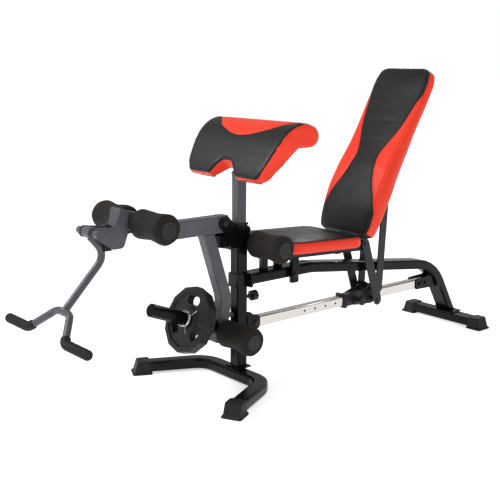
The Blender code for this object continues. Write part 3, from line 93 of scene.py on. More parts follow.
def make_piece(name, grids, material, merge=1e-6, smooth_angle=35):
    """One object from several grids: each is (points, close_rows, close_columns)."""
    points, faces, start = [], [], 0
    for grid, close_rows, close_columns in grids:
        rows, columns = grid.shape[:2]
        points.append(grid.reshape(-1, 3))
        faces.append(grid_faces(rows, columns, close_rows, close_columns) + start)
        start += rows * columns
    mesh = bpy.data.meshes.new(name)
    mesh.from_pydata(np.concatenate(points), [], np.concatenate(faces))
    tidy_mesh(mesh, merge)
    mesh.shade_smooth()
    mesh.set_sharp_from_angle(angle=math.radians(smooth_angle))
    piece = bpy.data.objects.new(name, mesh)
    bpy.context.collection.objects.link(piece)
    mesh.materials.append(material)
    return piece


def tidy_mesh(mesh, merge):
    """Merges doubled points, drops the faces that this closes up, and points every face outwards."""
    shape = bmesh.new()
    shape.from_mesh(mesh)
    bmesh.ops.remove_doubles(shape, verts=shape.verts, dist=merge)
    bmesh.ops.dissolve_degenerate(shape, dist=merge / 2, edges=shape.edges)
    bmesh.ops.recalc_face_normals(shape, faces=shape.faces)
    shape.to_mesh(mesh)
    shape.free()


# %% Carrying a section along a path
def unit(vectors):
    return vectors / np.linalg.norm(vectors, axis=-1, keepdims=True)


def tangents(path, closed):
    """Direction at each point: from the point before it to the point after it."""
    if closed:
        return unit(np.roll(path, -1, 0) - np.roll(path, 1, 0))
    return unit(np.gradient(path, axis=0))


def tube_grid(path, radius, side, count=12, closed=False):
    """A round section on each point: centre + radius (n cos t + b sin t), with n square to side."""
    heading = tangents(path, closed)
    across = unit(np.cross(heading, side))
    other = np.cross(across, heading)
    turn = np.linspace(0, math.tau, count, endpoint=False)[None, :, None]
    radius = np.broadcast_to(radius, (len(path), count))[..., None]
    ring = np.cos(turn) * across[:, None] + np.sin(turn) * other[:, None]
    return path[:, None] + radius * ring


def capped(grid):
    """Adds a row at each end that falls together in the middle, so the tube is closed."""
    first = np.broadcast_to(grid[0].mean(0), grid[0].shape)[None]
    last = np.broadcast_to(grid[-1].mean(0), grid[-1].shape)[None]
    return np.concatenate([first, grid, last])


def turned_grid(profile, centre, axis, count=48):
    """Revolves (radius, height) rows: point = centre + axis h + r (first cos t + second sin t)."""
    axis = unit(np.array(axis, float))
    helper = np.array([0.0, 0.0, 1.0]) if abs(axis[2]) < 0.9 else np.array([1.0, 0.0, 0.0])
    first = unit(np.cross(axis, helper))
    second = np.cross(axis, first)
    profile = np.array(profile, float)
    turn = np.linspace(0, math.tau, count, endpoint=False)
    spoke = np.cos(turn)[:, None] * first + np.sin(turn)[:, None] * second
    return np.array(centre) + profile[:, 1, None, None] * axis + profile[:, :1, None] * spoke[None]


def smooth_path(points, step, closed=False):
    """Catmull-Rom: from p1 to p2 runs the cubic with end slopes (p2 - p0) / 2 and (p3 - p1) / 2."""
    p = np.array(points, float)
    if closed:
        p = np.concatenate([p[-1:], p, p[:2]])
    else:
        p = np.concatenate([2 * p[:1] - p[1:2], p, 2 * p[-1:] - p[-2:-1]])
    t = np.linspace(0, 1, 12, endpoint=False)[None, :, None]
    p0, p1, p2, p3 = (p[k : len(p) - 3 + k, None] for k in range(4))
    square = (2 * p0 - 5 * p1 + 4 * p2 - p3) * t**2
    cube = (3 * p1 - p0 - 3 * p2 + p3) * t**3
    curve = (0.5 * (2 * p1 + (p2 - p0) * t + square + cube)).reshape(-1, p.shape[1])
    curve = np.concatenate([curve, p[-2:-1] if not closed else curve[:1]])
    along = np.concatenate([[0], np.cumsum(np.linalg.norm(np.diff(curve, axis=0), axis=1))])
    count = max(int(round(along[-1] / step)), 4)
    places = np.linspace(0, along[-1], count, endpoint=not closed)
    return np.stack([np.interp(places, along, curve[:, k]) for k in range(p.shape[1])], 1)


def at(x, y, z):
    """A place given from the front post's middle, in the scene's own frame."""
    return np.array([x, y + HOME_Y, z])


# %% [markdown]
# ## Finishes
#
# Each finish is a small node graph on Object coordinates, so it stays on its piece when the bench
# folds.  One helper starts every finish; each then gets the one or two details that its real surface
# has: orange peel in enamel, drawing lines on chrome, pores in foam, grain in synthetic leather.


# %% A helper for node graphs
class Finish:
    """A material with its shader and its coordinates at hand."""

    def __init__(self, name, colour, roughness, metallic=0.0, **sockets):
        self.material = bpy.data.materials.new(name)
        self.material.use_nodes = True
        self.tree = self.material.node_tree
        self.shader = self.tree.nodes["Principled BSDF"]
        self.shader.inputs["Base Color"].default_value = (*colour, 1)
        self.shader.inputs["Roughness"].default_value = roughness
        self.shader.inputs["Metallic"].default_value = metallic
        for socket, value in sockets.items():
            self.shader.inputs[socket.replace("_", " ")].default_value = value
        self.place = self.add("ShaderNodeTexCoord").outputs["Object"]
        self.material.diffuse_color = (*colour, 1)

    def add(self, kind, **settings):
        node = self.tree.nodes.new(kind)
        for key, value in settings.items():
            setattr(node, key, value)
        return node

    def wire(self, source, node, socket):
        self.tree.links.new(source, node.inputs[socket])

    def squeezed(self, scale):
        """Object coordinates multiplied by (x, y, z), to stretch a pattern along one way."""
        mapping = self.add("ShaderNodeMapping")
        mapping.inputs["Scale"].default_value = scale
        self.wire(self.place, mapping, "Vector")
        return mapping.outputs["Vector"]

    def noise(self, scale, detail=3.0, place=None, roughness=0.55):
        node = self.add("ShaderNodeTexNoise")
        node.inputs["Scale"].default_value = scale
        node.inputs["Detail"].default_value = detail
        node.inputs["Roughness"].default_value = roughness
        self.wire(place or self.place, node, "Vector")
        return node.outputs["Fac"]

    def cells(self, scale, feature="F1", place=None, spread=1.0):
        node = self.add("ShaderNodeTexVoronoi", feature=feature)
        node.inputs["Scale"].default_value = scale
        node.inputs["Randomness"].default_value = spread
        self.wire(place or self.place, node, "Vector")
        return node.outputs["Distance"]

    def math(self, operation, first, second=0.0, third=None):
        node = self.add("ShaderNodeMath", operation=operation)
        for index, value in enumerate((first, second, third)):
            if value is None:
                continue
            if isinstance(value, (int, float)):
                node.inputs[index].default_value = value
            else:
                self.tree.links.new(value, node.inputs[index])
        return node.outputs[0]

    def spread(self, value, low, high, new_low, new_high):
        node = self.add("ShaderNodeMapRange")
        sockets = ("From Min", "From Max", "To Min", "To Max")
        for socket, number in zip(sockets, (low, high, new_low, new_high)):
            node.inputs[socket].default_value = number
        self.wire(value, node, "Value")
        return node.outputs["Result"]

    def mix(self, share, first, second):
        node = self.add("ShaderNodeMix", data_type="RGBA")
        self.tree.links.new(share, node.inputs["Factor"])
        for index, value in ((6, first), (7, second)):
            if isinstance(value, tuple):
                node.inputs[index].default_value = (*value, 1)
            else:
                self.tree.links.new(value, node.inputs[index])
        return node.outputs[2]

    def bump(self, height, distance, strength=1.0, under=None):
        node = self.add("ShaderNodeBump")
        node.inputs["Distance"].default_value = distance
        node.inputs["Strength"].default_value = strength
        self.wire(height, node, "Height")
        if under is not None:
            self.wire(under, node, "Normal")
        self.wire(node.outputs["Normal"], self.shader, "Normal")
        return node.outputs["Normal"]

    def rough(self, value, low, high):
        """Roughness from low to high, as a noise goes over its usual span of 0.3 to 0.7."""
        self.wire(self.spread(value, 0.3, 0.7, low, high), self.shader, "Roughness")

    def colour(self, value):
        self.wire(value, self.shader, "Base Color")


# %% Enamel
def enamel(name, dark, light, roughness, coat, shine):
    """Baked enamel: a soft cloud of colour, a fine orange peel, and gloss that varies a little."""
    gloss = {"Coat_Weight": coat, "Coat_Roughness": 0.12, "Specular_IOR_Level": shine}
    finish = Finish(name, dark, roughness, **gloss)
    cloud = finish.noise(9.0, 4.0)
    finish.colour(finish.mix(finish.spread(cloud, 0.35, 0.65, 0.0, 1.0), dark, light))
    finish.rough(finish.noise(60.0, 4.0), roughness * 0.85, roughness * 1.2)
    peel = finish.noise(950.0, 2.0)
    finish.bump(peel, 0.00004, 0.4)
    return finish.material


FRAME_BLACK = enamel(
    "frame_black_enamel",
    dark=(0.0030, 0.0026, 0.0027),
    light=(0.0044, 0.0038, 0.0038),
    roughness=0.22,
    coat=0.03,
    shine=0.12,
)
LEVER_GREY = enamel(
    "lever_grey_enamel",
    dark=(0.062, 0.062, 0.074),
    light=(0.078, 0.080, 0.094),
    roughness=0.38,
    coat=0.1,
    shine=0.25,
)
# Painted shade: the carriage, seat links and struts get the lever's grey dimmed to about a third, for
# parts that sit in shade.
SHADED_LEVER_GREY = enamel(
    "shaded_lever_grey_enamel",
    dark=(0.020, 0.020, 0.024),
    light=(0.024, 0.024, 0.029),
    roughness=0.36,
    coat=0.05,
    shine=0.18,
)
print("enamels: black, lever grey, lever grey with painted shade")


# %% Chrome and steel
def chrome():
    """Chromed tube: very smooth, with faint lines drawn along the tube and a few soft smudges."""
    finish = Finish("rail_chrome", (0.60, 0.575, 0.55), 0.14, 1.0)
    finish.rough(finish.noise(22.0, 5.0), 0.10, 0.24)
    lines = finish.noise(420.0, 2.0, finish.squeezed((1.0, 0.01, 1.0)))
    finish.bump(lines, 0.00005, 0.35)
    return finish.material


def dark_steel(name, colour, roughness):
    """Blackened bolt steel, rubbed a little brighter in patches."""
    finish = Finish(name, colour, roughness, 0.9)
    rubbed = finish.spread(finish.noise(170.0, 5.0), 0.5, 0.72, 0.0, 1.0)
    finish.colour(finish.mix(rubbed, colour, tuple(min(1.0, c * 2.6 + 0.02) for c in colour)))
    finish.rough(finish.noise(240.0, 3.0), roughness * 0.8, roughness * 1.3)
    finish.bump(finish.noise(1500.0, 2.0), 0.00008, 0.4)
    return finish.material


def spring_steel():
    """Bright coil wire with fine lines round it."""
    finish = Finish("spring_steel", (0.66, 0.66, 0.66), 0.22, 1.0)
    finish.rough(finish.noise(300.0, 3.0), 0.16, 0.34)
    finish.bump(finish.noise(2600.0, 1.0), 0.00004, 0.4)
    return finish.material


CHROME = chrome()
BOLT_BLACK = dark_steel("bolt_black_steel", (0.020, 0.020, 0.021), 0.34)
SPRING = spring_steel()


# %% Rubber, foam and plastic
def moulded(name, colour, roughness, grain=1400.0, depth=0.00015, speck=0.25):
    """Moulded plastic or rubber: fine spark-eroded grain and a faint bloom where it is handled."""
    finish = Finish(name, colour, roughness, Specular_IOR_Level=0.3)
    bloom = finish.spread(finish.noise(26.0, 5.0), 0.42, 0.75, 0.0, speck)
    finish.colour(finish.mix(bloom, colour, tuple(c * 1.6 + 0.003 for c in colour)))
    finish.rough(finish.noise(90.0, 4.0), roughness * 0.88, min(roughness * 1.12, 1.0))
    finish.bump(finish.noise(grain, 3.0), depth, 0.6)
    return finish.material


def roller_foam():
    """Closed-cell foam: a matt skin full of tiny pits, with painted shade in the pits and painted light
    on the crests.
    """
    finish = Finish("roller_foam", (0.013, 0.011, 0.0105), 0.82, Specular_IOR_Level=0.2)
    pits = finish.cells(900.0)
    soft = finish.noise(2100.0, 3.0)
    height = finish.math("ADD", finish.math("MULTIPLY", pits, 0.8), finish.math("MULTIPLY", soft, 0.5))
    pit_shade_and_crest_light = finish.spread(height, 0.25, 0.95, 0.0, 1.0)
    # painted shade in the pits and painted light on the crests: the colour follows the bump's height
    finish.colour(finish.mix(pit_shade_and_crest_light, (0.0070, 0.0060, 0.0056), (0.019, 0.0165, 0.0155)))
    finish.rough(finish.noise(150.0, 3.0), 0.72, 0.9)
    finish.bump(height, 0.0005, 0.7)
    return finish.material


PLASTIC = moulded("moulded_plastic", (0.0075, 0.0070, 0.0070), 0.42)
BOOT_RUBBER = moulded("boot_rubber", (0.0060, 0.0056, 0.0056), 0.6, 900.0, 0.0002)
PLATE_RUBBER = moulded("plate_rubber", (0.0052, 0.0050, 0.0054), 0.5, 700.0, 0.00025, 0.15)
GRIP_RUBBER = moulded("grip_rubber", (0.0080, 0.0068, 0.0064), 0.66, 1100.0, 0.0003)
FOAM = roller_foam()


# %% Pressed board
def pressed_board():
    """Dark pressed board: fine fibres that lie every way, and a few paler chips."""
    finish = Finish("pressed_board", (0.035, 0.028, 0.024), 0.78)
    fibres = finish.noise(420.0, 5.0, finish.squeezed((1.0, 0.35, 0.35)))
    chips = finish.spread(finish.cells(240.0), 0.05, 0.4, 1.0, 0.0)
    share = finish.math("MULTIPLY", fibres, chips)
    finish.colour(finish.mix(share, (0.022, 0.018, 0.016), (0.085, 0.066, 0.052)))
    finish.bump(fibres, 0.0003, 0.6)
    return finish.material


BOARD = pressed_board()


# %% [markdown]
# Synthetic leather is a black or red skin with a fine pebbled grain.  Which colour a point has is
# worked out with the shape and kept on each point as a number called panel: below zero it is black,
# above it is red, and where it passes zero there is a seam.  The number is a length in metres, so the
# seam keeps its width.


# %% Synthetic leather
def leather():
    """Grained skin in two colours: black where panel < 0, red where it is > 0, dark on the seam."""
    finish = Finish("synthetic_leather", (0.01, 0.01, 0.011), 0.42, Specular_IOR_Level=0.22)
    panel = finish.add("ShaderNodeAttribute", attribute_name="panel").outputs["Fac"]
    pebbles = finish.cells(620.0, "SMOOTH_F1")
    creases = finish.noise(1300.0, 4.0)
    drape = finish.noise(16.0, 3.0)
    grain = finish.math("ADD", pebbles, finish.math("MULTIPLY", creases, 0.35))
    pebbled = finish.spread(grain, 0.2, 0.9, 0.0, 1.0)
    black = finish.mix(pebbled, (0.0060, 0.0057, 0.0063), (0.0125, 0.0117, 0.0127))
    red = finish.mix(pebbled, (0.70, 0.030, 0.010), (0.84, 0.046, 0.016))
    is_red = finish.math("GREATER_THAN", panel, 0.0)
    skin = finish.mix(is_red, black, red)
    near_seam = finish.math("ABSOLUTE", panel)
    seam = finish.spread(near_seam, 0.0006, 0.0016, 1.0, 0.0)
    finish.colour(finish.mix(seam, skin, (0.010, 0.008, 0.008)))
    finish.rough(drape, 0.36, 0.50)
    under = finish.bump(grain, 0.00035, 0.45)
    finish.bump(seam, -0.0006, 0.8, under)
    return finish.material


def welt_leather():
    """The covered cord in a seam: the same skin, stretched smoother, in the colour of its panel."""
    finish = Finish("welt_leather", (0.008, 0.0075, 0.008), 0.4, Specular_IOR_Level=0.35)
    panel = finish.add("ShaderNodeAttribute", attribute_name="panel").outputs["Fac"]
    is_red = finish.math("GREATER_THAN", panel, 0.0)
    finish.colour(finish.mix(is_red, (0.008, 0.0075, 0.008), (0.80, 0.040, 0.012)))
    finish.rough(finish.noise(140.0, 3.0), 0.34, 0.48)
    finish.bump(finish.cells(900.0), 0.0002, 0.4)
    return finish.material


LEATHER = leather()
WELT = welt_leather()
print("finishes ready:", len(bpy.data.materials))

# %% [markdown]
# ## Finishes on the frame's own parts
#
# The tubes, brackets and bolts already have their right shapes, so each only gets a finish.

# %% Assign the finishes
FINISH_OF = {
    FRAME_BLACK: (
        "front_base rear_base post beam beam_strap rail_front_bracket rail_rear_bracket roller_support "
        "lever_bracket seat_frame backrest_frame plate_sleeve"
    ),
    LEVER_GREY: "lever_arm lever_leg curl_bracket curl_bar mast",
    # painted shade: these parts get the lever grey darkened
    SHADED_LEVER_GREY: "carriage seat_link_left seat_link_right strut_left strut_right",
    CHROME: "rail",
    BOLT_BLACK: "rail_front_bolt lever_bolt seat_bolt backrest_bolt",
    PLASTIC: (
        "post_guide carriage_guide_front carriage_guide_rear mast_pin mast_clamp carriage_pin "
        "thigh_roller_bar shin_roller_bar ankle_roller_bar"
    ),
    BOOT_RUBBER: (
        "front_foot_left front_foot_right rear_foot_left rear_foot_right lever_bumper seat_bumper "
        "curl_rest_pad"
    ),
    PLATE_RUBBER: "weight_plate",
    BOARD: "preacher_board seat_board backrest_board",
}
for finish, names in FINISH_OF.items():
    for name in names.split():
        NODES[name].data.materials.clear()
        NODES[name].data.materials.append(finish)
print("nodes with a finish:", sum(len(names.split()) for names in FINISH_OF.values()))

# %% [markdown]
# ## Cushions
#
# A real cushion is foam on a board, under a cover that is sewn from a face panel and a side band, with
# a covered cord (the welt) in the seam between them.  The cover is tight, so each panel swells between
# its seams.  That swelling is simulated: the plain solid is remeshed into even small squares, the
# seams and the board side are held still, and cloth with a little air pressure inside it does the rest.
# Each cushion is worked in its own flat frame: a runs across, b along, and c up from the board.


# %% A cushion's own frame
class PadFrame:
    """Turns points between the scene and a cushion's own (a, b, c)."""

    def __init__(self, origin, angle):
        c, s = math.cos(angle), math.sin(angle)
        self.axes = np.array([[1.0, 0.0, 0.0], [0.0, c, s], [0.0, -s, c]])
        self.origin = np.array(origin)

    def local(self, points):
        return (points - self.origin) @ self.axes.T

    def world(self, points):
        return points @ self.axes + self.origin


def points_of(mesh):
    flat = np.empty(len(mesh.vertices) * 3, np.float64)
    mesh.vertices.foreach_get("co", flat)
    return flat.reshape(-1, 3)


def set_points(mesh, points):
    mesh.vertices.foreach_set("co", np.ascontiguousarray(points, np.float32).ravel())
    mesh.update()


def normals_of(mesh):
    flat = np.empty(len(mesh.vertices) * 3, np.float32)
    mesh.vertex_normals.foreach_get("vector", flat)
    return flat.reshape(-1, 3).astype(float)


def add_number(mesh, name, values):
    attribute = mesh.attributes.new(name, "FLOAT", "POINT")
    attribute.data.foreach_set("value", np.ascontiguousarray(values, np.float32))


# %% Remesh, swell and keep
def applied(piece):
    """Replaces the piece's mesh by what its modifiers make of it, and drops the modifiers."""
    graph = bpy.context.evaluated_depsgraph_get()
    mesh = bpy.data.meshes.new_from_object(piece.evaluated_get(graph))
    piece.modifiers.clear()
    piece.data = mesh
    return mesh


def start_cushion(name, node, pad, voxel, shape):
    """A copy of the plain solid in the cushion's frame, remeshed evenly and then shaped."""
    piece = bpy.data.objects.new(name, NODES[node].data.copy())
    bpy.context.collection.objects.link(piece)
    tidy_mesh(piece.data, 1e-5)
    set_points(piece.data, pad.local(points_of(piece.data)))
    remesh = piece.modifiers.new("even squares", "REMESH")
    remesh.mode = "VOXEL"
    remesh.voxel_size = voxel
    mesh = applied(piece)
    set_points(mesh, shape(points_of(mesh)))
    return piece


def swell(piece, held, pressure, cap, frames=20):
    """Cloth with air inside; held is 1 where a seam or the board keeps the cover still."""
    rest = points_of(piece.data)
    group = piece.vertex_groups.new(name="held")
    for level in (0.25, 0.5, 0.75, 1.0):  # a point keeps the highest level that it is nearest to
        chosen = np.flatnonzero(held >= level - 0.125)
        group.add(chosen.tolist(), level, "REPLACE")
    cloth = piece.modifiers.new("cover", "CLOTH")
    cloth.settings.quality = 4
    cloth.settings.mass = 0.2
    cloth.settings.tension_stiffness = 10
    cloth.settings.compression_stiffness = 10
    cloth.settings.shear_stiffness = 5
    cloth.settings.bending_stiffness = 1.0
    cloth.settings.use_pressure = True
    cloth.settings.uniform_pressure_force = pressure
    cloth.settings.vertex_group_mass = "held"
    cloth.settings.pin_stiffness = 1.0
    cloth.settings.effector_weights.gravity = 0.0
    cloth.collision_settings.use_collision = False
    for step in range(1, frames + 1):
        bpy.context.scene.frame_set(step)
    mesh = applied(piece)
    bpy.context.scene.frame_set(1)
    moved = points_of(mesh) - rest
    length = np.linalg.norm(moved, axis=1, keepdims=True)
    set_points(mesh, rest + moved * np.minimum(1.0, cap / np.maximum(length, 1e-9)))
    print(f"{piece.name}: swelled by up to {min(float(length.max()), cap) * 1000:.1f} mm")


def refine(piece):
    """One subdivision, which doubles the number of squares each way."""
    step = piece.modifiers.new("finer squares", "SUBSURF")
    step.levels = step.render_levels = 1
    return applied(piece)


def relax(piece, factor, rounds):
    """Evens out the stair steps that remeshing leaves."""
    step = piece.modifiers.new("even out", "SMOOTH")
    step.factor = factor
    step.iterations = rounds
    return applied(piece)


# %% Outlines and the welt
def rim_path(local, height, band, centre, shape=(1.0, 1.0), count=220):
    """The cushion's outline at one height: for each direction, the middle of the rim points there."""
    near = np.abs(local[:, 2] - height) < band
    spoke = (local[near, :2] - centre) / shape
    turn = np.arctan2(spoke[:, 1], spoke[:, 0])
    length = np.linalg.norm(spoke, axis=1)
    step = math.tau / count
    number = np.floor((turn + math.pi) / step).astype(int) % count
    total = np.bincount(number, length, count)
    amount = np.bincount(number, minlength=count)
    middle = -math.pi + (np.arange(count) + 0.5) * step
    good = amount > 0
    reach = np.interp(middle, middle[good], (total / np.maximum(amount, 1))[good], period=math.tau)
    for _ in range(2):
        reach = (np.roll(reach, 1) + 2 * reach + np.roll(reach, -1)) / 4
    flat = centre + np.stack([np.cos(middle), np.sin(middle)], 1) * reach[:, None] * shape
    return np.concatenate([flat, np.full((count, 1), height)], 1)


def add_welt(name, pad, path, radius, body, number=None):
    """A covered cord along a closed path in the cushion's frame; number tells its panel number."""
    world = pad.world(smooth_path(path[::2], 0.003, closed=True))
    side = pad.axes[2]
    cord = make_piece(name, [(tube_grid(world, radius, side, 10, closed=True), True, True)], WELT)
    local = pad.local(points_of(cord.data))
    add_number(cord.data, "panel", number(local) if number else np.full(len(local), BLACK))
    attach(cord, body)


def distance_to(points, path):
    """Distance from each point to the nearest point of a path, in slices so that memory stays small."""
    result = np.empty(len(points))
    slice_size = 4000
    for start in range(0, len(points), slice_size):
        part = points[start : start + slice_size, None, :] - path[None]
        result[start : start + slice_size] = np.sqrt((part**2).sum(-1).min(1))
    return result


# %% Falling off beside a seam
SEAM_HOLD = 0.003  # how far beside the welt the cover is still held
BOARD_FADE = 0.004  # how far above the board it is still held
WELT_GROOVE = (0.0016, 0.005)  # depth and width of the groove that the welt lies in
BLACK = -0.01  # a panel number well inside the black


def smooth_step(value, low, high):
    """0 below low and 1 above high, with t^2 (3 - 2 t) between them."""
    t = np.clip((value - low) / (high - low), 0, 1)
    return t * t * (3 - 2 * t)


def beside(distance, width):
    """1 on a line, and less beside it: exp(-(distance / width)^2)."""
    return np.exp(-((distance / width) ** 2))


def held_by_board(local):
    """1 where the cover lies on the board, and 0 from BOARD_FADE above it."""
    return smooth_step(-local[:, 2], -BOARD_FADE, 0.0)


def crease(mesh, local, distance, depth, width):
    """Presses a rounded groove in along its normals: depth * exp(-(distance / width)^2)."""
    push = depth * beside(distance, width)
    set_points(mesh, local - normals_of(mesh) * push[:, None])
    return points_of(mesh)


def finish_cushion(piece, pad, node, body):
    """Back into the scene's frame, dressed, attached to its body, with the plain solid hidden."""
    set_points(piece.data, pad.world(points_of(piece.data)))
    piece.data.materials.clear()
    piece.data.materials.append(LEATHER)
    piece.data.shade_smooth()
    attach(piece, body)
    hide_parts(node)
    print(f"{piece.name}: {len(piece.data.vertices)} points")


# %% [markdown]
# ### The seat
#
# The seat's face panel is black, and a red band runs round its side, below the welt.

# %% The seat's sizes
SEAT_PIVOT = (0.228, 0.362)
SEAT_FALL = math.radians(2.93)
SEAT_SIZE = np.array([0.310, 0.381, 0.0460])
SEAT_HALF = SEAT_SIZE[:2] / 2
SEAT_FRONT = 0.110
SEAT_TOP = 0.5060  # the plain face's height right above the pivot
SEAT_SEAM = 0.0410  # the welt's height over the board
seat_middle = SEAT_FRONT + SEAT_SIZE[1] / 2
seat_height = SEAT_TOP - SEAT_SIZE[2] - (seat_middle - SEAT_PIVOT[0]) * math.tan(SEAT_FALL)
seat_pad = PadFrame(at(0, seat_middle, seat_height), -SEAT_FALL)
print(f"the seat's board is {seat_height:.3f} m over the floor")


# %% The seat's shape and seam
def shape_seat(local):
    """Shrinks the solid a little for the swelling; crowns the face by h ((1 - a^2)(1 - b^2))^0.6."""
    a = local[:, 0] / SEAT_HALF[0]
    b = local[:, 1] / SEAT_HALF[1]
    top = smooth_step(local[:, 2], 0.024, 0.043)
    crown = 0.007 * np.clip(1 - a**2, 0, 1) ** 0.6 * np.clip(1 - b**2, 0, 1) ** 0.6
    shaped = local.copy()
    shaped[:, :2] *= 0.985
    shaped[:, 2] += top * (crown - 0.003)
    return shaped


def seat_edge(local):
    """How near a point is to the outline: 1 on it, 0 in the middle."""
    return (np.abs(local[:, :2]) / SEAT_HALF).max(1)


def seat_rim(rim):
    """The outline at the seam's level."""
    return rim_path(rim, SEAT_SEAM, SEAM_HOLD, np.zeros(2), SEAT_HALF)


# %% Seat cushion
seat = start_cushion("seat_cushion", "seat_pad", seat_pad, 0.0055, shape_seat)
relax(seat, 0.5, 3)
local = points_of(seat.data)
held = np.maximum(held_by_board(local), beside(local[:, 2] - SEAT_SEAM, SEAM_HOLD))
held = np.where((seat_edge(local) > 0.93) | (local[:, 2] < BOARD_FADE), held, 0.0)
swell(seat, held, 2.5, 0.007)
refine(seat)
local = points_of(seat.data)
on_side = seat_edge(local) > 0.9
panel = np.where(on_side, np.minimum(SEAT_SEAM - local[:, 2], 0.02), -0.02)
panel = np.where(local[:, 2] < 0.0, BLACK, panel)
local = crease(seat.data, local, distance_to(local, seat_rim(local[on_side])), *WELT_GROOVE)
add_number(seat.data, "panel", panel)
add_welt("seat_welt", seat_pad, seat_rim(local[on_side]), 0.0023, "seat")
finish_cushion(seat, seat_pad, "seat_pad", "seat")

# %% [markdown]
# ### The backrest
#
# The backrest is black with a red panel down each side, so the black part has a waist.  It is thickest
# low down, where it fills the hollow of the back.  How wide the black part is at each height is a
# smooth curve through a few places.

# %% The backrest's sizes
BACK_PIVOT = (0.600, 0.430)
BACK_ANGLE = math.radians(61.2)
BACK_SIZE = np.array([0.278, 0.724, 0.057])
BACK_START = 0.0053
BACK_OFFSET = 0.0972
BACK_SEAM = 0.0475  # the welt's height over the board, before the extra thickness
BACK_SHAPE = (  # distance up the cushion, half width, extra thickness
    (0.000, 0.1000, 0.000),
    (0.010, 0.1280, 0.002),
    (0.040, 0.1360, 0.007),
    (0.105, 0.1385, 0.020),
    (0.187, 0.1390, 0.027),
    (0.277, 0.1350, 0.025),
    (0.382, 0.1310, 0.012),
    (0.457, 0.1340, 0.006),
    (0.537, 0.1370, 0.002),
    (0.594, 0.1390, 0.000),
    (0.668, 0.1390, 0.000),
    (0.709, 0.1270, 0.000),
    (0.724, 0.1000, 0.000),
)
SHAPE_HEIGHT, SHAPE_HALF, SHAPE_MORE = np.array(BACK_SHAPE).T
BACK_PANEL = (  # half width of the black panel, distance up the cushion
    (0.1550, 0.067),
    (0.1300, 0.107),
    (0.1100, 0.157),
    (0.0875, 0.201),
    (0.0720, 0.242),
    (0.0620, 0.284),
    (0.0570, 0.332),
    (0.0755, 0.392),
    (0.0970, 0.447),
    (0.1100, 0.497),
    (0.1190, 0.547),
    (0.1310, 0.592),
    (0.1500, 0.627),
)


def along_back(along, depth):
    """(y, z) at a distance up the backrest from its pivot, and out towards the cushion's face."""
    c, s = math.cos(BACK_ANGLE), math.sin(BACK_ANGLE)
    return BACK_PIVOT[0] + c * along - s * depth, BACK_PIVOT[1] + s * along + c * depth


back_middle = along_back(BACK_START + BACK_SIZE[1] / 2, BACK_OFFSET - BACK_SIZE[2])
back_pad = PadFrame(at(0, *back_middle), BACK_ANGLE)
print(f"the backrest leans back {90 - math.degrees(BACK_ANGLE):.1f} degrees")


# %% The backrest's outline and seams
BACK_RIM = 0.86  # back_edge above this is the rim


def back_height(local):
    """Distance up the cushion from its lower end."""
    return local[:, 1] + BACK_SIZE[1] / 2


def back_level(local):
    """Height over the board less the extra thickness there: the seam is at one level all round."""
    return local[:, 2] - np.interp(back_height(local), SHAPE_HEIGHT, SHAPE_MORE)


def back_edge(local):
    """How near a point is to the outline: 1 on it, 0 in the middle."""
    half = np.interp(back_height(local), SHAPE_HEIGHT, SHAPE_HALF)
    return np.maximum(np.abs(local[:, 0]) / half, np.abs(local[:, 1]) / (BACK_SIZE[1] / 2))


def back_rim(local):
    """The outline at the seam's level, lifted back to the cushion's true height."""
    flat = local[back_edge(local) > BACK_RIM].copy()
    flat[:, 2] = back_level(flat)
    path = rim_path(flat, BACK_SEAM, SEAM_HOLD, np.zeros(2), BACK_SIZE[:2] / 2, 320)
    path[:, 2] += np.interp(back_height(path), SHAPE_HEIGHT, SHAPE_MORE)
    return path


panel_path = smooth_path(BACK_PANEL, 0.004) - np.array([0.0, BACK_SIZE[1] / 2])


def panel_number(local):
    """Distance across from the seam: positive outside it (red), negative inside it (black)."""
    half = np.interp(local[:, 1], panel_path[:, 1], panel_path[:, 0])
    near = distance_to(np.stack([np.abs(local[:, 0]), local[:, 1]], 1), panel_path)
    return np.where(np.abs(local[:, 0]) > half, near, -near)


def shape_back(local):
    """Adds a crown across the face: h (1 - a^2)^0.7, which fades out towards both ends."""
    height = back_height(local)
    a = np.clip(np.abs(local[:, 0]) / np.interp(height, SHAPE_HEIGHT, SHAPE_HALF), 0, 1)
    top = smooth_step(back_level(local), 0.025, 0.053)
    ends = smooth_step(height, 0.0, 0.09) * smooth_step(BACK_SIZE[1] - height, 0.0, 0.06)
    shaped = local.copy()
    shaped[:, :2] *= np.array([0.985, 0.994])
    shaped[:, 2] += top * (0.006 * (1 - a**2) ** 0.7 * ends - 0.003)
    return shaped


# %% Swell the backrest
back = start_cushion("backrest_cushion", "backrest_pad", back_pad, 0.0062, shape_back)
relax(back, 0.5, 6)
local = points_of(back.data)
level = back_level(local)
at_welt = np.where(back_edge(local) > BACK_RIM, beside(level - BACK_SEAM, SEAM_HOLD), 0.0)
at_panel = np.where(level > 0.043, 0.75 * beside(np.abs(panel_number(local)), 0.005), 0.0)
held = np.maximum.reduce([at_welt, at_panel, held_by_board(local)])
swell(back, held, 2.0, 0.007)
refine(back)

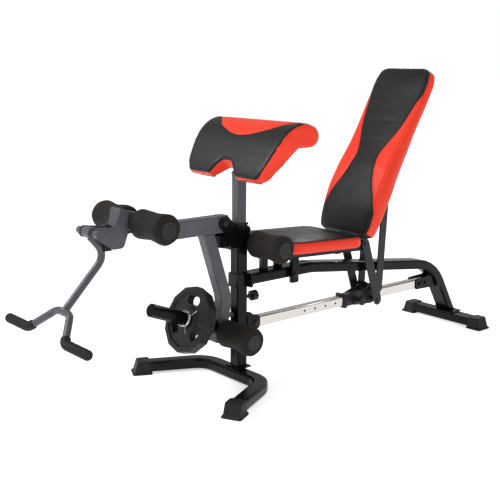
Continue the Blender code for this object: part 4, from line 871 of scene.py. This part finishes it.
# %% Seams, colours and welt of the backrest
local = points_of(back.data)
panel = panel_number(local)
on_face = back_level(local) > 0.038
local = crease(back.data, local, np.where(on_face, np.abs(panel), 1.0), 0.0022, 0.0045)
beside_red = np.where(panel > 0.004, 1.0, distance_to(local, back_rim(local)))
local = crease(back.data, local, beside_red, *WELT_GROOVE)
level = back_level(local)
side_red = np.minimum(BACK_SEAM - 0.001 - level, 0.02)
side_panel = np.where(panel > 0, np.maximum(side_red, 0.004), side_red)
ends = np.minimum(local[:, 1] + 0.350, 0.343 - local[:, 1])
on_side = (level < BACK_SEAM) & (back_edge(local) > BACK_RIM)
add_number(back.data, "panel", np.where(on_side, np.minimum(side_panel, ends), panel))
add_welt("backrest_welt", back_pad, back_rim(local), 0.0024, "backrest", panel_number)
finish_cushion(back, back_pad, "backrest_pad", "backrest")

# %% [markdown]
# ### The preacher pad
#
# The arms rest on this pad with the elbows over its rolled top.  Its lower edge has a notch.  The face
# is black, with a red inset against the top roll, and its sides are red.

# %% The preacher pad's sizes
PREACHER_EDGE = (-0.086, 0.758)
PREACHER_ANGLE = math.radians(43.8)
preacher_frame = PadFrame(at(0, *PREACHER_EDGE), PREACHER_ANGLE)
PREACHER_FACE = (  # distance up the pad, height of its face
    (0.0000, -0.0040),
    (0.0311, 0.0100),
    (0.0725, 0.0220),
    (0.1140, 0.0310),
    (0.1450, 0.0350),
    (0.1813, 0.0340),
    (0.2124, 0.0260),
    (0.2435, 0.0100),
    (0.2642, -0.0135),
)
PREACHER_HALF = (  # distance up the pad, half width
    (0.000, 0.192),
    (0.008, 0.203),
    (0.020, 0.209),
    (0.040, 0.214),
    (0.145, 0.233),
    (0.228, 0.240),
    (0.300, 0.240),
)
PREACHER_INSET = (  # half width of the red inset, distance up the pad
    (0.262, 0.310),
    (0.230, 0.271),
    (0.200, 0.245),
    (0.166, 0.217),
    (0.129, 0.187),
    (0.070, 0.161),
    (0.032, 0.150),
    (0.000, 0.147),
)
SIDE_SHARE = 0.966  # the side's seam, as a share of the half width
BAND_DEPTH = 0.007  # the lower band's seam, under the face
BAND_END = 0.176  # the band and the board end here, and the roll begins
BOARD_LEVEL = -0.034
print(f"the preacher pad is {2 * PREACHER_HALF[-1][1]:.2f} m wide")


# %% The preacher pad's seams
def inset_number(local):
    """Positive (red) above the inset's seam; the seam is |a| = half(b), a bowl that opens upwards."""
    path = smooth_path(PREACHER_INSET, 0.004)
    near = distance_to(np.stack([np.abs(local[:, 0]), local[:, 1]], 1), path)
    order = np.argsort(path[:, 1])
    half = np.interp(local[:, 1], path[order, 1], path[order, 0], left=-1.0)
    inside = (np.abs(local[:, 0]) < half) & (local[:, 1] > PREACHER_INSET[-1][1])
    return np.where(inside, near, -near)


def side_number(local):
    """Positive (red) on the two ends: |a| - share * half(b), so its seam follows the outline."""
    return np.abs(local[:, 0]) - SIDE_SHARE * np.interp(local[:, 1], *np.array(PREACHER_HALF).T)


def band_number(local):
    """Positive (red) on the lower edge and in the notch: depth under the face, less the seam's."""
    under = np.interp(local[:, 1], *np.array(PREACHER_FACE).T) - local[:, 2] - BAND_DEPTH
    return np.minimum(under, BAND_END - local[:, 1])


def shape_preacher(local):
    """Shrinks the solid a little across, for the swelling."""
    shaped = local.copy()
    shaped[:, 0] *= 0.988
    return shaped


# %% Swell the preacher pad
preacher = start_cushion("preacher_cushion", "preacher_pad", preacher_frame, 0.0055, shape_preacher)
relax(preacher, 0.5, 6)
local = points_of(preacher.data)
on_board = (local[:, 2] < BOARD_LEVEL) & (local[:, 1] < BAND_END)
edges = np.maximum(side_number(local), band_number(local))
held = np.maximum(np.where(on_board, 1.0, 0.25), beside(edges, 0.008))
held = np.maximum(held, 0.6 * beside(inset_number(local), 0.006))
swell(preacher, held, 1.5, 0.0035)
relax(preacher, 0.5, 3)
refine(preacher)

# %% Seams and colours of the preacher pad
local = points_of(preacher.data)
inset = inset_number(local)
edges = np.maximum(side_number(local), band_number(local))
on_face = (local[:, 2] > -0.07) & (edges < 0)
local = crease(preacher.data, local, np.where(on_face, np.abs(inset), 1.0), 0.0018, 0.0045)
local = crease(preacher.data, local, np.abs(edges), 0.0010, 0.0035)
add_number(preacher.data, "panel", np.maximum(inset, edges))
finish_cushion(preacher, preacher_frame, "preacher_pad", "mast")

# %% [markdown]
# ## Foam rollers
#
# Each roller is a thick foam sleeve, pushed onto a tube, that is a little narrower in the middle.  It
# is a turned shape: the profile is a smooth curve through a few (radius, distance) places.

# %% Foam sleeves
FOAM_INNER = 0.0324  # from the bench's middle to a sleeve's inner end
ROLLERS = {"thigh": (0.047, 0.500), "shin": (-0.4364, 0.6265), "ankle": (-0.0895, 0.1976)}
SIDES = (("right", 1), ("left", -1))
FOAM_PROFILE = (  # radius, distance from the inner end
    (0.0130, 0.0000),
    (0.0250, 0.0003),
    (0.0345, 0.0006),
    (0.0400, 0.0022),
    (0.0445, 0.0062),
    (0.0475, 0.0130),
    (0.0478, 0.0240),
    (0.0462, 0.0450),
    (0.0437, 0.0785),
    (0.0462, 0.1120),
    (0.0490, 0.1330),
    (0.0493, 0.1440),
    (0.0468, 0.1520),
    (0.0415, 0.1560),
    (0.0340, 0.1568),
    (0.0250, 0.1570),
    (0.0130, 0.1571),
)


def foam_sleeve(name, yz, side):
    """A waisted sleeve; its radius has 0.5 mm sin(3 t + 40 x) + 0.4 mm sin(7 t - 65 x) added to it."""
    profile = smooth_path(FOAM_PROFILE, 0.0022)
    grid = turned_grid(profile, at(side * FOAM_INNER, *yz), (side, 0, 0), 72)
    centre = at(0, *yz)
    spoke = grid - centre
    turn = np.arctan2(spoke[..., 2], spoke[..., 1])
    along = spoke[..., 0]
    ripple = 0.0005 * np.sin(3 * turn + 40 * along) + 0.0004 * np.sin(7 * turn - 65 * along)
    radius = np.hypot(spoke[..., 1], spoke[..., 2])
    share = 1 + np.where(radius > 0.03, ripple / np.maximum(radius, 1e-6), 0)
    grid[..., 1] = centre[1] + spoke[..., 1] * share
    grid[..., 2] = centre[2] + spoke[..., 2] * share
    return make_piece(name, [(grid, True, True)], FOAM, smooth_angle=50)


for roller, yz in ROLLERS.items():
    for word, side in SIDES:
        sleeve = foam_sleeve(f"{roller}_foam_{word}", yz, side)
        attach(sleeve, f"{roller}_roller")
        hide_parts(f"{roller}_roller_foam_{word}")
print(f"six foam sleeves, {FOAM_PROFILE[-1][1] * 1000:.0f} mm long each")

# %% [markdown]
# ## Curl grips
#
# The curl bar's two handles are ribbed rubber sleeves.  The ribs are rings round the sleeve: the
# radius is a little larger wherever sin(distance along it) is high.

# %% Ribbed grips
CURL_FORK = (-0.700, 0.374)
DOWN = unit(np.array([0.0, -1.0, -1.0]))
CURL_DROP = 0.088  # from the fork down to the grips
BEND = 0.035  # the bend's radius
BEND_X = 0.1312  # where the bar's bend ends and the straight grip begins
GRIP_RADIUS = 0.0157
RIB_STEP = 0.0066


def fork_place(x, drop):
    """A place in the fork's own slanted plane: x across, drop down the slant."""
    return at(0, *CURL_FORK) + np.array([x, 0, 0]) + DOWN * drop


def grip_grid(side):
    """A tube along the bar's end, with radius r + 0.6 mm tanh(2.5 sin(2 pi s / step)) at distance s."""
    turn = np.radians(np.array([49.6, 37.3, 25.0, 12.4, 0.0]))
    bend = [(BEND_X - BEND * math.sin(t), CURL_DROP - BEND * (1 - math.cos(t))) for t in turn]
    places = [(0.1002, 0.0707), *bend, (0.165, CURL_DROP), (0.210, CURL_DROP), (0.2535, CURL_DROP)]
    path = smooth_path(np.array([fork_place(side * x, drop) for x, drop in places]), 0.0011)
    along = np.concatenate([[0], np.cumsum(np.linalg.norm(np.diff(path, axis=0), axis=1))])
    ribs = 0.0006 * np.tanh(2.5 * np.sin(along * math.tau / RIB_STEP))
    ends = 1 - 0.16 * np.exp(-along / 0.0016) - 0.22 * np.exp(-(along[-1] - along) / 0.0022)
    radius = ((GRIP_RADIUS + ribs) * ends)[:, None]
    return capped(tube_grid(path, radius, np.cross(np.array([1.0, 0, 0]), DOWN), 28))


for word, side in SIDES:
    grip = make_piece(f"curl_handle_{word}", [(grip_grid(side), False, True)], GRIP_RUBBER)
    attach(grip, "curl")
    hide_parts(f"curl_grip_{word}")
print("two ribbed grips")

# %% [markdown]
# ## Spring collar
#
# The collar is a coil of spring wire that grips the sleeve, with two legs to squeeze.  A helix is
# (R cos t, R sin t, pitch t), and each leg leaves the coil straight outwards.

# %% Coil and legs
SLEEVE_END = (-0.382, 0.324)
SLEEVE_RISE = math.radians(21.6)
PLATE_FACE = 0.160  # from the sleeve's end back to the plate's face
SLEEVE_OUT = np.array([0.0, -math.cos(SLEEVE_RISE), math.sin(SLEEVE_RISE)])
SLEEVE_UP = np.cross(SLEEVE_OUT, np.array([1.0, 0.0, 0.0]))
COLLAR_START = at(0, *SLEEVE_END) - SLEEVE_OUT * (PLATE_FACE - 0.0026)
COIL_RADIUS = 0.0261
COIL_CLIMB = 0.0125
WIRE_RADIUS = 0.0022
COIL_START = math.radians(38)
COIL_END = COIL_START + math.radians(720 + 274)


def collar_path():
    """A leg, the coil and a leg, as one path."""
    turns = np.linspace(COIL_START, COIL_END, 120)
    ring = np.cos(turns)[:, None] * np.array([1.0, 0, 0]) + np.sin(turns)[:, None] * SLEEVE_UP
    climb = np.linspace(0.0, COIL_CLIMB, len(turns))[:, None]
    coil = COLLAR_START + ring * COIL_RADIUS + SLEEVE_OUT * climb
    reach = np.linspace(0.004, 0.038, 8)[:, None]
    rise = np.linspace(0.0, 0.004, 8)[:, None]
    first = (coil[0] + ring[0] * reach + SLEEVE_OUT * rise)[::-1]
    last = coil[-1] + ring[-1] * reach + SLEEVE_OUT * rise
    return np.concatenate([first, coil, last])


wire = capped(tube_grid(collar_path(), WIRE_RADIUS, SLEEVE_OUT, 10))
coil = make_piece("collar_coil", [(wire, False, True)], SPRING)
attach(coil, "collar")
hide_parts("spring_collar")
print(f"a collar coil of {math.degrees(COIL_END - COIL_START) / 360:.2f} turns")

# %% [markdown]
# ## The room round the bench
#
# A pale floor, a pale sky of even light, and three large soft lamps: one high on the left, which
# gives the tubes their long pale reflections, one weak on the right, and one behind for the edges.

# %% Floor
HALF_FLOOR = 60
floor_mesh = bpy.data.meshes.new("floor")
corners = [(x * HALF_FLOOR, y * HALF_FLOOR, 0) for x, y in ((-1, -1), (1, -1), (1, 1), (-1, 1))]
floor_mesh.from_pydata(corners, [], [(0, 1, 2, 3)])
floor = bpy.data.objects.new("floor", floor_mesh)
bpy.context.collection.objects.link(floor)
glow = {"Emission_Color": (1.0, 1.0, 1.0, 1.0), "Emission_Strength": 0.58}
pale = Finish("pale_floor", (0.90, 0.90, 0.90), 0.7, **glow)
pale.rough(pale.noise(3.0), 0.6, 0.8)
floor_mesh.materials.append(pale.material)
floor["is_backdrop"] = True
print("floor ready")

# %% Sky and lamps
SKY_LIGHT = 0.5  # the sky lights the bench with this, and is shown as plain white
world = bpy.data.worlds.new("studio")
bpy.context.scene.world = world
world.use_nodes = True
sky = world.node_tree.nodes["Background"]
sky.inputs["Color"].default_value = (1.0, 1.0, 1.0, 1)
rays = world.node_tree.nodes.new("ShaderNodeLightPath")
level = world.node_tree.nodes.new("ShaderNodeMath")
level.operation = "MULTIPLY_ADD"
level.inputs[1].default_value = 1.0 - SKY_LIGHT
level.inputs[2].default_value = SKY_LIGHT
world.node_tree.links.new(rays.outputs["Is Camera Ray"], level.inputs[0])
world.node_tree.links.new(level.outputs[0], sky.inputs["Strength"])


def soft_lamp(name, place, target, size, watts):
    """A rectangle of light at a place, turned towards its target."""
    lamp = bpy.data.lights.new(name, "AREA")
    lamp.shape = "RECTANGLE"
    lamp.size, lamp.size_y = size
    lamp.energy = watts
    holder = bpy.data.objects.new(name, lamp)
    bpy.context.collection.objects.link(holder)
    holder.location = place
    holder.rotation_euler = (Vector(target) - Vector(place)).to_track_quat("-Z", "Y").to_euler()
    return holder


soft_lamp("key", (-1.6, -2.8, 3.0), (0, 0, 0.4), (2.2, 1.6), 120)
soft_lamp("fill", (3.4, -0.6, 2.2), (0, 0, 0.4), (2.0, 2.0), 22)
soft_lamp("back", (-1.2, 3.0, 2.6), (0, 0, 0.5), (2.4, 1.2), 45)
bpy.context.scene.view_settings.view_transform = "Standard"
print("lamps:", len(bpy.data.lights))

# %% [markdown]
# ## The camera
#
# The camera stands high in front of the bench's left side.  Its turn, tilt and roll are given as
# angles; its picture is 36 mm wide, and the lens length follows from how large the bench appears.

# %% Camera
TURN = math.radians(49.487)
TILT = math.radians(11.941)
ROLL = math.radians(0.3695)
level_way = np.array([-math.sin(TURN), math.cos(TURN), 0.0])
forward = level_way * math.cos(TILT) - np.array([0.0, 0.0, math.sin(TILT)])
right = np.array([math.cos(TURN), math.sin(TURN), 0.0])
up = np.cross(right, forward)
rolled_right = right * math.cos(ROLL) + up * math.sin(ROLL)
rolled_up = -right * math.sin(ROLL) + up * math.cos(ROLL)
lens = bpy.data.cameras.new("camera")
lens.sensor_width = 36.0
lens.lens = 64.635
camera = bpy.data.objects.new("camera", lens)
bpy.context.collection.objects.link(camera)
turned = Matrix((rolled_right, rolled_up, -forward)).transposed()
camera.matrix_world = Matrix.Translation(at(2.3935, -1.9934, 1.1357)) @ turned.to_4x4()
bpy.context.scene.camera = camera
print(f"camera with a {lens.lens:.1f} mm lens")

# %% Sizes and the end
shown_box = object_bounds()
for word, box in (("model", MODEL_BOX), ("shown", shown_box)):
    print(word, "box", [round(value, 3) for corner in box for value in corner])
